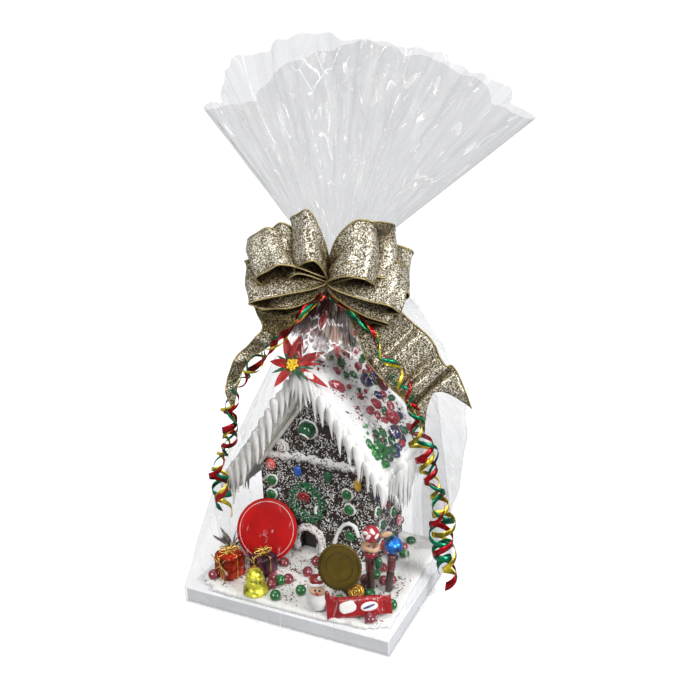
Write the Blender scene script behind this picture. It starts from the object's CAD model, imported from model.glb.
import math
import random

import bmesh
import bpy
from mathutils import Matrix, Vector, noise
from mathutils.bvhtree import BVHTree


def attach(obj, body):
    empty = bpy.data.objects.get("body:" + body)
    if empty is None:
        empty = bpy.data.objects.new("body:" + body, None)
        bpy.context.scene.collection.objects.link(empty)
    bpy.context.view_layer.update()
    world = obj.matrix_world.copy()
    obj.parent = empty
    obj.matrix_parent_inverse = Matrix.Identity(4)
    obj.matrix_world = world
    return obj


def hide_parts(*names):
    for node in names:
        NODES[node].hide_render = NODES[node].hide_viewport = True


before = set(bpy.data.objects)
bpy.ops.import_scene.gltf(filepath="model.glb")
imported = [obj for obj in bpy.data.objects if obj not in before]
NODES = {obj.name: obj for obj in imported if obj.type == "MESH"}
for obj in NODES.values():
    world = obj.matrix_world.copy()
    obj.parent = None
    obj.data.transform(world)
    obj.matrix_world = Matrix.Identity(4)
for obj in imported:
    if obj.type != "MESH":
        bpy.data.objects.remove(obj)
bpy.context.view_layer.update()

MM = 0.001
TAU = 2 * math.pi

# ---------------------------------------------------------------- sizes, in mm as in the CAD
YARD_Z = 23.5
PAD_Z = 27.0
HOUSE_X = -11.5
HALF_W = 74.5
FRONT_Y = 11.5
BACK_Y = 96.5
APEX_Z = 236.0
TAN = math.tan(math.radians(52.2))
COS = math.cos(math.radians(52.2))
SIN = math.sin(math.radians(52.2))
NECK = Vector((8.0, 48.0, 0.0))
TIE_Z = 366.0
KNOT = Vector((18.0, 10.0, 369.0))


def roof_line(x, lift=0.0):
    return APEX_Z - TAN * abs(x - HOUSE_X) + lift / COS


def roof_top(x):
    """Height of the icing's outer face."""
    return roof_line(x, 22.6)


# ---------------------------------------------------------------- mesh making

class Build:
    """Gathers many small shapes into one mesh with several materials."""

    def __init__(self):
        self.verts = []
        self.faces = []
        self.mats = []

    def add(self, shape, matrix=None, mat=0):
        verts, faces = shape[0], shape[1]
        tags = shape[2] if len(shape) > 2 else None
        start = len(self.verts)
        if matrix is None:
            self.verts.extend(tuple(v) for v in verts)
        else:
            self.verts.extend(tuple(matrix @ Vector(v)) for v in verts)
        self.faces.extend(tuple(start + i for i in face) for face in faces)
        self.mats.extend([mat + t for t in tags] if tags else [mat] * len(faces))

    def piece(self, name, materials, replaces=(), smooth=True, subsurf=0):
        mesh = bpy.data.meshes.new(name)
        mesh.from_pydata([(x * MM, y * MM, z * MM) for x, y, z in self.verts], [], self.faces)
        for material in materials:
            mesh.materials.append(material)
        mesh.polygons.foreach_set("material_index", self.mats)
        mesh.polygons.foreach_set("use_smooth", [smooth] * len(self.faces))
        mesh.update()
        thing = bpy.data.objects.new(name, mesh)
        bpy.context.scene.collection.objects.link(thing)
        if subsurf:
            mod = thing.modifiers.new("smooth", "SUBSURF")
            mod.levels = subsurf
            mod.render_levels = subsurf
        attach(thing, "root")
        if replaces:
            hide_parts(*replaces)
        return thing


def lathe(profile, steps=20, wobble=0.0, seed=0.0):
    """A closed turned form: (radius, height) pairs from the top pole to the bottom pole."""
    verts = [(0.0, 0.0, profile[0][1])]
    for r, h in profile[1:-1]:
        for k in range(steps):
            a = TAU * k / steps
            reach = r * (1.0 + wobble * math.sin(3 * a + seed + h) + 0.6 * wobble * math.sin(5 * a + 2 * seed))
            verts.append((reach * math.cos(a), reach * math.sin(a), h))
    verts.append((0.0, 0.0, profile[-1][1]))
    faces = []
    rows = len(profile) - 2
    for k in range(steps):
        faces.append((0, 1 + k, 1 + (k + 1) % steps))
        last = 1 + (rows - 1) * steps
        faces.append((len(verts) - 1, last + (k + 1) % steps, last + k))
    for r in range(rows - 1):
        a, b = 1 + r * steps, 1 + (r + 1) * steps
        for k in range(steps):
            after = (k + 1) % steps
            faces.append((a + k, b + k, b + after, a + after))
    return verts, faces


def pill(radius, height, steps=20, flat=0.9, rows=7):
    """A sugar-coated button: an upright squashed ball."""
    profile = []
    for k in range(rows + 1):
        a = math.pi * k / rows
        profile.append((radius * abs(math.sin(a)) ** flat, 0.5 * height * math.cos(a)))
    return lathe(profile, steps)


def tube(path, radii, sides=8, caps=True, flat=1.0, up=Vector((0.0, 0.0, 1.0))):
    """A round (or flattened) tube along a path, tapered by radii."""
    path = [Vector(p) for p in path]
    count = len(path)
    if not hasattr(radii, "__len__"):
        radii = [radii] * count
    verts, faces = [], []
    side = None
    for k, p in enumerate(path):
        ahead = (path[min(k + 1, count - 1)] - path[max(k - 1, 0)]).normalized()
        if side is None:
            side = ahead.cross(up)
            if side.length < 1e-4:
                side = ahead.cross(Vector((1.0, 0.0, 0.0)))
        side = (side - ahead * side.dot(ahead)).normalized()
        over = side.cross(ahead)
        for j in range(sides):
            a = TAU * j / sides
            verts.append(p + side * (radii[k] * math.cos(a)) + over * (flat * radii[k] * math.sin(a)))
    for k in range(count - 1):
        a, b = k * sides, (k + 1) * sides
        for j in range(sides):
            after = (j + 1) % sides
            faces.append((a + j, a + after, b + after, b + j))
    if caps:
        faces.append(tuple(reversed(range(sides))))
        last = (count - 1) * sides
        faces.append(tuple(range(last, last + sides)))
    return verts, faces


def loop_tube(path, radius, sides=6):
    """A closed ring of tube."""
    path = [Vector(p) for p in path]
    count = len(path)
    centre = sum(path, Vector()) / count
    normal = (path[0] - centre).cross(path[count // 4] - centre).normalized()
    verts, faces = [], []
    for k, p in enumerate(path):
        out = (path[(k + 1) % count] - path[k - 1]).cross(normal).normalized()
        for j in range(sides):
            a = TAU * j / sides
            verts.append(p + out * (radius * math.cos(a)) + normal * (radius * math.sin(a)))
    for k in range(count):
        a, b = k * sides, ((k + 1) % count) * sides
        for j in range(sides):
            after = (j + 1) % sides
            faces.append((a + j, b + j, b + after, a + after))
    return verts, faces


def sheet(rows, thickness):
    """A thin solid from a grid of points: face tag 0 on one side, 1 on the other and on the rim."""
    rows = [[Vector(p) for p in row] for row in rows]
    count, width = len(rows), len(rows[0])
    upper, lower = [], []
    for i in range(count):
        for j in range(width):
            along = rows[min(i + 1, count - 1)][j] - rows[max(i - 1, 0)][j]
            across = rows[i][min(j + 1, width - 1)] - rows[i][max(j - 1, 0)]
            n = along.cross(across)
            n = n.normalized() if n.length > 1e-9 else Vector((0.0, 0.0, 1.0))
            upper.append(rows[i][j] + n * (0.5 * thickness))
            lower.append(rows[i][j] - n * (0.5 * thickness))
    verts = upper + lower
    off = len(upper)
    faces, tags = [], []
    for i in range(count - 1):
        for j in range(width - 1):
            a, b, c, d = i * width + j, i * width + j + 1, (i + 1) * width + j + 1, (i + 1) * width + j
            faces.append((a, d, c, b))
            tags.append(0)
            faces.append((off + a, off + b, off + c, off + d))
            tags.append(1)
    rim = [j for j in range(width)] + [i * width + width - 1 for i in range(1, count)]
    rim += [(count - 1) * width + j for j in range(width - 2, -1, -1)]
    rim += [i * width for i in range(count - 2, 0, -1)]
    for a, b in zip(rim, rim[1:] + rim[:1]):
        faces.append((a, b, off + b, off + a))
        tags.append(1)
    return verts, faces, tags


def smooth_path(points, steps):
    nodes = [Vector(p) for p in points]
    nodes = [nodes[0] * 2 - nodes[1]] + nodes + [nodes[-1] * 2 - nodes[-2]]
    path = []
    for k in range(1, len(nodes) - 2):
        a, b, c, d = nodes[k - 1:k + 3]
        for step in range(steps):
            t = step / steps
            path.append(0.5 * (2 * b + (c - a) * t + (2 * a - 5 * b + 4 * c - d) * t * t
                               + (3 * b - a - 3 * c + d) * t ** 3))
    path.append(nodes[-2])
    return path


def at(x, y, z, aim=(0.0, 0.0, 1.0), spin=0.0, scale=1.0):
    turn = Vector(aim).to_track_quat("Z", "Y").to_matrix().to_4x4()
    return Matrix.Translation((x, y, z)) @ turn @ Matrix.Rotation(spin, 4, "Z") @ Matrix.Scale(scale, 4)


# ---------------------------------------------------------------- materials

def new_material(name):
    mat = bpy.data.materials.new(name)
    mat.use_nodes = True
    return mat, mat.node_tree, mat.node_tree.nodes["Principled BSDF"]


def add_node(tree, kind, **values):
    node = tree.nodes.new(kind)
    for key, value in values.items():
        if hasattr(node, key):
            setattr(node, key, value)
        else:
            node.inputs[key.replace("_", " ")].default_value = value
    return node


def coords(tree):
    return add_node(tree, "ShaderNodeTexCoord").outputs["Object"]


def ramp(tree, source, stops):
    node = tree.nodes.new("ShaderNodeValToRGB")
    while len(node.color_ramp.elements) < len(stops):
        node.color_ramp.elements.new(0.5)
    for element, (place, color) in zip(node.color_ramp.elements, stops):
        element.position = place
        element.color = (*color, 1.0) if len(color) == 3 else color
    tree.links.new(source, node.inputs["Fac"])
    return node.outputs["Color"]


def noise_tex(tree, where, scale, detail=4.0, rough=0.55):
    node = add_node(tree, "ShaderNodeTexNoise")
    node.inputs["Scale"].default_value = scale
    node.inputs["Detail"].default_value = detail
    node.inputs["Roughness"].default_value = rough
    tree.links.new(where, node.inputs["Vector"])
    return node.outputs["Fac"]


def voronoi(tree, where, scale, feature="F1"):
    node = add_node(tree, "ShaderNodeTexVoronoi", feature=feature)
    node.inputs["Scale"].default_value = scale
    tree.links.new(where, node.inputs["Vector"])
    return node


def bump(tree, shader, height, strength, distance):
    node = tree.nodes.new("ShaderNodeBump")
    node.inputs["Strength"].default_value = strength
    node.inputs["Distance"].default_value = distance
    tree.links.new(height, node.inputs["Height"])
    tree.links.new(node.outputs["Normal"], shader.inputs["Normal"])
    return node


def simple(name, low, high, scale, rough, bump_scale, bump_depth, metallic=0.0, sss=0.0, coat=0.0, grain=1.0):
    """A mottled material: colour between two tones, roughness that varies and a fine bump."""
    mat, tree, shader = new_material(name)
    where = coords(tree)
    tree.links.new(ramp(tree, noise_tex(tree, where, scale), [(0.35, low), (0.65, high)]),
                   shader.inputs["Base Color"])
    fine = noise_tex(tree, where, bump_scale, 3.0)
    spread = ramp(tree, fine, [(0.3, (rough * 0.8,) * 3), (0.7, (min(1.0, rough * 1.25),) * 3)])
    tree.links.new(spread, shader.inputs["Roughness"])
    bump(tree, shader, fine, grain, bump_depth)
    shader.inputs["Metallic"].default_value = metallic
    if sss:
        shader.inputs["Subsurface Weight"].default_value = sss
        shader.inputs["Subsurface Radius"].default_value = (0.004, 0.003, 0.002)
    if coat:
        shader.inputs["Coat Weight"].default_value = coat
        shader.inputs["Coat Roughness"].default_value = 0.05
    return mat


def candy(name, color, dust=0.35):
    """A glossy sugar shell with a pale dusting here and there."""
    mat, tree, shader = new_material(name)
    where = coords(tree)
    dark = tuple(c * 0.55 for c in color)
    base = ramp(tree, noise_tex(tree, where, 160.0), [(0.3, dark), (0.7, color)])
    specks = voronoi(tree, where, 900.0).outputs["Distance"]
    mask = ramp(tree, specks, [(0.10, (1.0,) * 3), (0.20, (0.0,) * 3)])
    patchy = ramp(tree, noise_tex(tree, where, 110.0), [(0.52, (0.0,) * 3), (0.66, (dust,) * 3)])
    both = add_node(tree, "ShaderNodeMath", operation="MULTIPLY")
    tree.links.new(mask, both.inputs[0])
    tree.links.new(patchy, both.inputs[1])
    mix = add_node(tree, "ShaderNodeMix", data_type="RGBA")
    tree.links.new(both.outputs[0], mix.inputs["Factor"])
    tree.links.new(base, mix.inputs[6])
    mix.inputs[7].default_value = (0.85, 0.83, 0.80, 1.0)
    tree.links.new(mix.outputs[2], shader.inputs["Base Color"])
    shader.inputs["Roughness"].default_value = 0.22
    shader.inputs["Coat Weight"].default_value = 0.7
    shader.inputs["Coat Roughness"].default_value = 0.06
    bump(tree, shader, noise_tex(tree, where, 420.0, 3.0), 0.5, 0.0003)
    return mat


def gingerbread_material():
    mat, tree, shader = new_material("gingerbread")
    where = coords(tree)
    cake = ramp(tree, noise_tex(tree, where, 90.0, 6.0), [(0.3, (0.011, 0.006, 0.0045)), (0.7, (0.036, 0.018, 0.012))])
    cells = voronoi(tree, where, 560.0)
    jitter = noise_tex(tree, where, 1100.0, 2.0)
    total = add_node(tree, "ShaderNodeMath", operation="ADD")
    tree.links.new(cells.outputs["Distance"], total.inputs[0])
    scaled = add_node(tree, "ShaderNodeMath", operation="MULTIPLY")
    scaled.inputs[1].default_value = 0.5
    tree.links.new(jitter, scaled.inputs[0])
    tree.links.new(scaled.outputs[0], total.inputs[1])
    patch = ramp(tree, noise_tex(tree, where, 52.0, 5.0, 0.6), [(0.34, (0.20,) * 3), (0.66, (0.49,) * 3)])
    under = add_node(tree, "ShaderNodeMath", operation="LESS_THAN")
    tree.links.new(total.outputs[0], under.inputs[0])
    tree.links.new(patch, under.inputs[1])
    mix = add_node(tree, "ShaderNodeMix", data_type="RGBA")
    tree.links.new(under.outputs[0], mix.inputs["Factor"])
    tree.links.new(cake, mix.inputs[6])
    mix.inputs[7].default_value = (0.84, 0.81, 0.77, 1.0)
    tree.links.new(mix.outputs[2], shader.inputs["Base Color"])
    shader.inputs["Roughness"].default_value = 0.8
    height = add_node(tree, "ShaderNodeMath", operation="ADD")
    tree.links.new(under.outputs[0], height.inputs[0])
    tree.links.new(noise_tex(tree, where, 400.0), height.inputs[1])
    bump(tree, shader, height.outputs[0], 0.7, 0.0006)
    return mat


def from_tie(tree, arc):
    """Coordinates that fan out from the tie: angle from upright, depth and distance."""
    apart = add_node(tree, "ShaderNodeVectorMath", operation="SUBTRACT")
    apart.inputs[1].default_value = (NECK.x * MM, NECK.y * MM, TIE_Z * MM)
    tree.links.new(coords(tree), apart.inputs[0])
    split = tree.nodes.new("ShaderNodeSeparateXYZ")
    tree.links.new(apart.outputs[0], split.inputs[0])
    height = add_node(tree, "ShaderNodeMath", operation="ABSOLUTE")
    tree.links.new(split.outputs["Z"], height.inputs[0])
    angle = add_node(tree, "ShaderNodeMath", operation="ARCTAN2")
    tree.links.new(split.outputs["X"], angle.inputs[0])
    tree.links.new(height.outputs[0], angle.inputs[1])
    wide = add_node(tree, "ShaderNodeMath", operation="MULTIPLY")
    wide.inputs[1].default_value = arc
    tree.links.new(angle.outputs[0], wide.inputs[0])
    away = add_node(tree, "ShaderNodeVectorMath", operation="LENGTH")
    tree.links.new(apart.outputs[0], away.inputs[0])
    join = tree.nodes.new("ShaderNodeCombineXYZ")
    tree.links.new(wide.outputs[0], join.inputs["X"])
    tree.links.new(split.outputs["Y"], join.inputs["Y"])
    tree.links.new(away.outputs["Value"], join.inputs["Z"])
    return join.outputs[0], away.outputs["Value"]


def blend(tree, operation, first, second):
    node = add_node(tree, "ShaderNodeMath", operation=operation, use_clamp=True)
    tree.links.new(first, node.inputs[0])
    tree.links.new(second, node.inputs[1])
    return node.outputs[0]


def film_material(name, low, high, edge, lines, tone, arc=0.0, pull=0.25, dense=95.0, ridge=0.55):
    """Clear cellophane: it dims what lies behind it, most where it turns edge-on, with white creases."""
    mat, tree, shader = new_material(name)
    where = from_tie(tree, arc)[0] if arc else coords(tree)
    stretch = add_node(tree, "ShaderNodeMapping")
    stretch.inputs["Scale"].default_value = (1.0, 1.0, pull)
    tree.links.new(where, stretch.inputs["Vector"])
    along = stretch.outputs["Vector"]
    long_noise = noise_tex(tree, along, dense, 6.0, 0.62)
    fine = noise_tex(tree, where, 38.0, 5.0, 0.55)
    bent = add_node(tree, "ShaderNodeVectorMath", operation="MULTIPLY_ADD")
    wander = add_node(tree, "ShaderNodeTexNoise")
    wander.inputs["Scale"].default_value = 26.0
    tree.links.new(along, wander.inputs["Vector"])
    tree.links.new(wander.outputs["Color"], bent.inputs[0])
    bent.inputs[1].default_value = (0.030, 0.030, 0.030)
    tree.links.new(along, bent.inputs[2])
    cells = voronoi(tree, bent.outputs[0], 34.0, "DISTANCE_TO_EDGE").outputs["Distance"]
    patch = noise_tex(tree, where, 17.0, 3.0)
    creases = blend(tree, "MULTIPLY", ramp(tree, cells, [(0.0, (ridge * lines,) * 3), (0.020, (0.0,) * 3)]),
                    ramp(tree, patch, [(0.50, (0.0,) * 3), (0.62, (1.0,) * 3)]))
    streaks = blend(tree, "MULTIPLY", ramp(tree, long_noise, [(0.61, (0.0,) * 3), (0.69, (0.8 * lines,) * 3)]),
                    ramp(tree, patch, [(0.40, (1.0,) * 3), (0.60, (0.12,) * 3)]))
    white = blend(tree, "ADD", creases, streaks)
    height = blend(tree, "ADD", long_noise, fine)
    ridged = add_node(tree, "ShaderNodeMath", operation="ADD")
    tree.links.new(height, ridged.inputs[0])
    tree.links.new(creases, ridged.inputs[1])
    bumped = bump(tree, shader, ridged.outputs[0], 0.7, 0.0018)
    weight = add_node(tree, "ShaderNodeLayerWeight")
    weight.inputs["Blend"].default_value = 0.3
    tree.links.new(bumped.outputs["Normal"], weight.inputs["Normal"])
    haze = ramp(tree, weight.outputs["Facing"], [(0.0, (low,) * 3), (0.5, (high,) * 3), (1.0, (edge,) * 3)])
    uneven = ramp(tree, long_noise, [(0.30, (0.65,) * 3), (0.70, (1.0,) * 3)])
    tree.links.new(blend(tree, "ADD", blend(tree, "MULTIPLY", haze, uneven), white), shader.inputs["Alpha"])
    mix = add_node(tree, "ShaderNodeMix", data_type="RGBA")
    tree.links.new(ramp(tree, white, [(0.02, (0.0,) * 3), (0.12, (1.0,) * 3)]), mix.inputs["Factor"])
    mix.inputs[6].default_value = (tone, tone, 0.97 * tone, 1.0)
    mix.inputs[7].default_value = (0.95, 0.95, 0.95, 1.0)
    tree.links.new(mix.outputs[2], shader.inputs["Base Color"])
    shader.inputs["Metallic"].default_value = 0.1
    shader.inputs["Roughness"].default_value = 0.15
    return mat


def gathered_material():
    """Film drawn together under the knot: many layers, brown with reflections, thinning out below."""
    mat, tree, shader = new_material("film_gathered")
    where, away = from_tie(tree, 0.06)
    stretch = add_node(tree, "ShaderNodeMapping")
    stretch.inputs["Scale"].default_value = (1.0, 0.5, 0.22)
    tree.links.new(where, stretch.inputs["Vector"])
    strands = noise_tex(tree, stretch.outputs["Vector"], 150.0, 5.0, 0.7)
    blobs = add_node(tree, "ShaderNodeMath", operation="MULTIPLY_ADD")
    blobs.inputs[1].default_value = 0.55
    tree.links.new(noise_tex(tree, where, 95.0, 3.0), blobs.inputs[0])
    tree.links.new(strands, blobs.inputs[2])
    settle = add_node(tree, "ShaderNodeMath", operation="SUBTRACT")
    settle.inputs[1].default_value = 0.275
    tree.links.new(blobs.outputs[0], settle.inputs[0])
    bands = settle.outputs[0]
    plain = ramp(tree, bands, [(0.38, (0.13, 0.005, 0.007)), (0.44, (0.018, 0.009, 0.006)), (0.53, (0.125, 0.083, 0.050)),
                               (0.61, (0.23, 0.165, 0.11)), (0.66, (0.80, 0.77, 0.71))])
    crush = add_node(tree, "ShaderNodeMapping")
    crush.inputs["Scale"].default_value = (1.0, 0.7, 0.45)
    tree.links.new(where, crush.inputs["Vector"])
    shards = voronoi(tree, crush.outputs["Vector"], 130.0)
    tone = tree.nodes.new("ShaderNodeSeparateColor")
    tree.links.new(shards.outputs["Color"], tone.inputs["Color"])
    pieces = ramp(tree, tone.outputs[0], [(0.15, (0.085, 0.003, 0.005)), (0.45, (0.018, 0.008, 0.005)), (0.68, (0.10, 0.058, 0.036)),
                                          (0.86, (0.24, 0.18, 0.13)), (0.95, (0.30, 0.008, 0.010))])
    crushed = add_node(tree, "ShaderNodeMix", data_type="RGBA")
    tree.links.new(ramp(tree, away, [(0.018, (0.0,) * 3), (0.036, (1.0,) * 3)]), crushed.inputs["Factor"])
    tree.links.new(plain, crushed.inputs[6])
    tree.links.new(pieces, crushed.inputs[7])
    rims = voronoi(tree, crush.outputs["Vector"], 130.0, "DISTANCE_TO_EDGE").outputs["Distance"]
    lined = blend(tree, "MULTIPLY", ramp(tree, rims, [(0.025, (1.0,) * 3), (0.07, (0.0,) * 3)]),
                  ramp(tree, noise_tex(tree, where, 70.0, 2.0), [(0.48, (0.0,) * 3), (0.55, (1.0,) * 3)]))
    lined = blend(tree, "MULTIPLY", lined, ramp(tree, away, [(0.018, (0.0,) * 3), (0.036, (1.0,) * 3)]))
    edged = add_node(tree, "ShaderNodeMix", data_type="RGBA")
    tree.links.new(lined, edged.inputs["Factor"])
    tree.links.new(crushed.outputs[2], edged.inputs[6])
    edged.inputs[7].default_value = (0.88, 0.87, 0.85, 1.0)
    tree.links.new(edged.outputs[2], shader.inputs["Base Color"])
    shader.inputs["Metallic"].default_value = 0.1
    shader.inputs["Roughness"].default_value = 0.32
    shift = add_node(tree, "ShaderNodeMath", operation="MULTIPLY_ADD")
    shift.inputs[1].default_value = -0.075
    tree.links.new(bands, shift.inputs[0])
    tree.links.new(away, shift.inputs[2])
    tree.links.new(ramp(tree, shift.outputs[0], [(0.0, (0.97,) * 3), (0.038, (0.95,) * 3), (0.048, (0.66,) * 3), (0.060, (0.07,) * 3)]),
                   shader.inputs["Alpha"])
    bump(tree, shader, bands, 0.8, 0.0016)
    return mat


ICING = simple("icing", (0.82, 0.81, 0.785), (0.90, 0.89, 0.87), 60.0, 0.45, 260.0, 0.0005, sss=0.15)
SNOW = simple("snow_icing", (0.80, 0.79, 0.755), (0.88, 0.87, 0.84), 40.0, 0.6, 300.0, 0.0012, sss=0.1)
GINGER = gingerbread_material()
FILM = film_material("film", 0.055, 0.12, 0.36, 0.42, 0.04, 0.24, 0.14, 120.0, 0.45)
BACK_FILM = film_material("film_back", 0.20, 0.27, 0.46, 0.42, 0.08, 0.24, 0.14, 120.0, 0.6)
FAN_FILM = film_material("film_fan", 0.235, 0.335, 0.58, 0.50, 0.11, 0.16, 0.16, 130.0, 1.0)
NECK_FILM = gathered_material()
FLAP_FILM = film_material("film_flap", 0.23, 0.31, 0.50, 0.45, 0.12, 0.24, 0.14, 120.0, 0.6)
FOLD_FILM = film_material("film_fold", 0.24, 0.38, 0.74, 0.60, 0.42, 0.24, 0.14, 120.0, 0.9)
BOARD = simple("board_wrap", (0.78, 0.79, 0.805), (0.85, 0.86, 0.875), 25.0, 0.35, 90.0, 0.0006)
FLECK = simple("sugar", (0.86, 0.85, 0.82), (0.94, 0.93, 0.91), 300.0, 0.6, 1500.0, 0.0002)

DULL_ICING = simple("dull_icing", (0.74, 0.72, 0.65), (0.84, 0.82, 0.75), 60.0, 0.6, 260.0, 0.0008)
GREY_ICING = simple("grey_icing", (0.52, 0.51, 0.475), (0.66, 0.645, 0.60), 45.0, 0.6, 90.0, 0.0016)
RED = candy("red_shell", (0.36, 0.006, 0.012))
GREEN = candy("green_shell", (0.006, 0.17, 0.026))
BRIGHT_GREEN = candy("green_shards", (0.010, 0.40, 0.030), 0.1)
BLUE = candy("blue_shell", (0.010, 0.13, 0.55))
YELLOW = candy("yellow_shell", (0.80, 0.45, 0.03))
BROWN = candy("brown_shell", (0.07, 0.015, 0.012))
SPRINKLE = lathe([(0.0, 1.1), (0.42, 0.9), (0.5, 0.0), (0.42, -0.9), (0.0, -1.1)], 5)

FINISHES = {
    "board": BOARD, "wall_front": GINGER, "wall_back": GINGER, "wall_left": GINGER, "wall_right": GINGER,
    "roof_left": DULL_ICING, "roof_right": DULL_ICING,
}
for node_name, finish in FINISHES.items():
    data = NODES[node_name].data
    data.materials.clear()
    data.materials.append(finish)


# ---------------------------------------------------------------- camera, floor and light

def make_camera():
    az, el, roll = math.radians(26.08), math.radians(17.02), math.radians(-2.207)
    back = Vector((math.sin(az) * math.cos(el), -math.cos(az) * math.cos(el), math.sin(el)))
    right = Vector((math.cos(az), math.sin(az), 0.0))
    up = back.cross(right)
    side = right * math.cos(roll) + up * math.sin(roll)
    over = up * math.cos(roll) - right * math.sin(roll)
    data = bpy.data.cameras.new("camera")
    data.sensor_width = 36.0
    data.lens = 40.78
    camera = bpy.data.objects.new("camera", data)
    bpy.context.scene.collection.objects.link(camera)
    camera.matrix_world = Matrix.Translation((0.4052, -0.7331, 0.5429)) @ Matrix(
        ((side.x, over.x, back.x, 0.0), (side.y, over.y, back.y, 0.0), (side.z, over.z, back.z, 0.0),
         (0.0, 0.0, 0.0, 1.0)))
    bpy.context.scene.camera = camera


def make_stage():
    """A pale round floor that sweeps up into a wall, so no horizon shows."""
    profile = [(0.0, 0.0), (2.4, 0.0)]
    for k in range(1, 9):
        a = 0.5 * math.pi * k / 8
        profile.append((2.4 + 1.4 * math.sin(a), 1.4 - 1.4 * math.cos(a)))
    profile.append((3.8, 3.6))
    steps = 64
    verts, faces = [(0.0, 0.0, 0.0)], []
    for r, h in profile[1:]:
        for k in range(steps):
            verts.append((r * math.cos(TAU * k / steps), r * math.sin(TAU * k / steps), h))
    for k in range(steps):
        faces.append((0, 1 + k, 1 + (k + 1) % steps))
    for row in range(len(profile) - 2):
        a, b = 1 + row * steps, 1 + (row + 1) * steps
        for k in range(steps):
            after = (k + 1) % steps
            faces.append((a + k, b + k, b + after, a + after))
    mesh = bpy.data.meshes.new("floor")
    mesh.from_pydata(verts, [], faces)
    mesh.polygons.foreach_set("use_smooth", [True] * len(faces))
    floor = bpy.data.objects.new("floor", mesh)
    bpy.context.scene.collection.objects.link(floor)
    mat, tree, shader = new_material("floor_paper")
    shader.inputs["Base Color"].default_value = (0.90, 0.90, 0.90, 1.0)
    shader.inputs["Roughness"].default_value = 0.9
    shader.inputs["Specular IOR Level"].default_value = 0.1
    away = add_node(tree, "ShaderNodeVectorMath", operation="LENGTH")
    tree.links.new(coords(tree), away.inputs[0])
    glow = ramp(tree, away.outputs["Value"], [(0.25, (0.16,) * 3), (1.0, (0.52,) * 3)])
    tree.links.new(glow, shader.inputs["Emission Color"])
    shader.inputs["Emission Strength"].default_value = 1.0
    mesh.materials.append(mat)
    floor.visible_diffuse = False
    floor.visible_glossy = False
    floor.visible_shadow = False


def area_light(name, place, target, size, power, color=(1.0, 1.0, 1.0)):
    data = bpy.data.lights.new(name, "AREA")
    data.shape = "RECTANGLE"
    data.size, data.size_y = size
    data.energy = power
    data.color = color
    light = bpy.data.objects.new(name, data)
    bpy.context.scene.collection.objects.link(light)
    light.location = place
    light.rotation_mode = "QUATERNION"
    light.rotation_quaternion = (Vector(target) - Vector(place)).to_track_quat("-Z", "Y")


def make_lights():
    world = bpy.data.worlds.new("studio")
    world.use_nodes = True
    world.node_tree.nodes["Background"].inputs["Color"].default_value = (0.93, 0.95, 1.0, 1.0)
    world.node_tree.nodes["Background"].inputs["Strength"].default_value = 0.36
    bpy.context.scene.world = world
    area_light("key", (0.1, -1.9, 2.0), (0.0, 0.0, 0.2), (1.0, 0.8), 33.0, (1.0, 0.985, 0.96))
    area_light("fill", (1.9, -0.35, 1.1), (0.0, 0.0, 0.2), (0.8, 1.1), 43.0, (0.97, 0.98, 1.0))
    area_light("side", (-1.8, -0.9, 1.2), (0.0, 0.0, 0.25), (0.6, 1.1), 1.5, (0.98, 0.99, 1.0))
    area_light("top", (0.0, 0.2, 2.2), (0.0, 0.0, 0.2), (1.2, 1.2), 22.0)
    scene = bpy.context.scene
    scene.view_settings.view_transform = "Standard"
    scene.view_settings.look = "None"
    scene.view_settings.exposure = 0.0


make_camera()
make_stage()
make_lights()

# ---------------------------------------------------------------- clear film

FILM_POINTS = [(sx * 128.5, sy * 103.0, z) for sx in (-1, 1) for sy in (-1, 1) for z in (0.2, 19.0)] + [
    (-136, -8, 96), (-136, -8, 122), (-136, 122, 96), (-136, 122, 122), (-48, -14, 252), (20, -14, 250),
    (-12, -18, 286), (-12, 124, 284), (46, -98, 62), (-42, -99, 50), (-85, -80, 60), (118, -30, 96),
    (92, -46, 112), (90, -46, 60), (88, -9, 108), (88, -9, 150), (88, 122, 80), (126, 60, 100),
    (129, 62, 160), (124, 62, 228), (126, 100, 60)]
NECK_LOW = 330.0
# Length of the flared film by its lean from upright, in degrees
FAN_EDGE = ((-40, 226), (-34, 220), (-30.2, 214), (-29.6, 222), (-25, 232), (-19, 243), (-9.6, 246), (1.6, 251),
            (9, 249), (18.4, 250), (24, 249), (26, 243), (36.6, 252), (43, 256), (46, 245), (53.5, 258))
AROUND = 384


def lookup(table, where):
    if where <= table[0][0]:
        return table[0][1]
    for (a, low), (b, high) in zip(table, table[1:]):
        if where <= b:
            return low + (high - low) * (where - a) / (b - a)
    return table[-1][1]


def chance_at(i, j, seed):
    value = math.sin(i * 127.1 + j * 311.7 + seed * 74.7) * 43758.5453
    return value - math.floor(value)


def facet(u, v, seed, wrap):
    """Noise made of flat triangles that meet at sharp creases. u repeats after wrap."""
    i, j = math.floor(u), math.floor(v)
    fu, fv = u - i, v - j
    a, b = chance_at(i % wrap, j, seed), chance_at((i + 1) % wrap, j, seed)
    c, d = chance_at(i % wrap, j + 1, seed), chance_at((i + 1) % wrap, j + 1, seed)
    if (i + j) % 2 == 0:
        if fu > fv:
            return a + (b - a) * fu + (d - b) * fv
        return a + (d - c) * fu + (c - a) * fv
    if fu + fv < 1.0:
        return a + (b - a) * fu + (c - a) * fv
    return d + (c - d) * (1.0 - fu) + (b - d) * (1.0 - fv)


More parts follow.
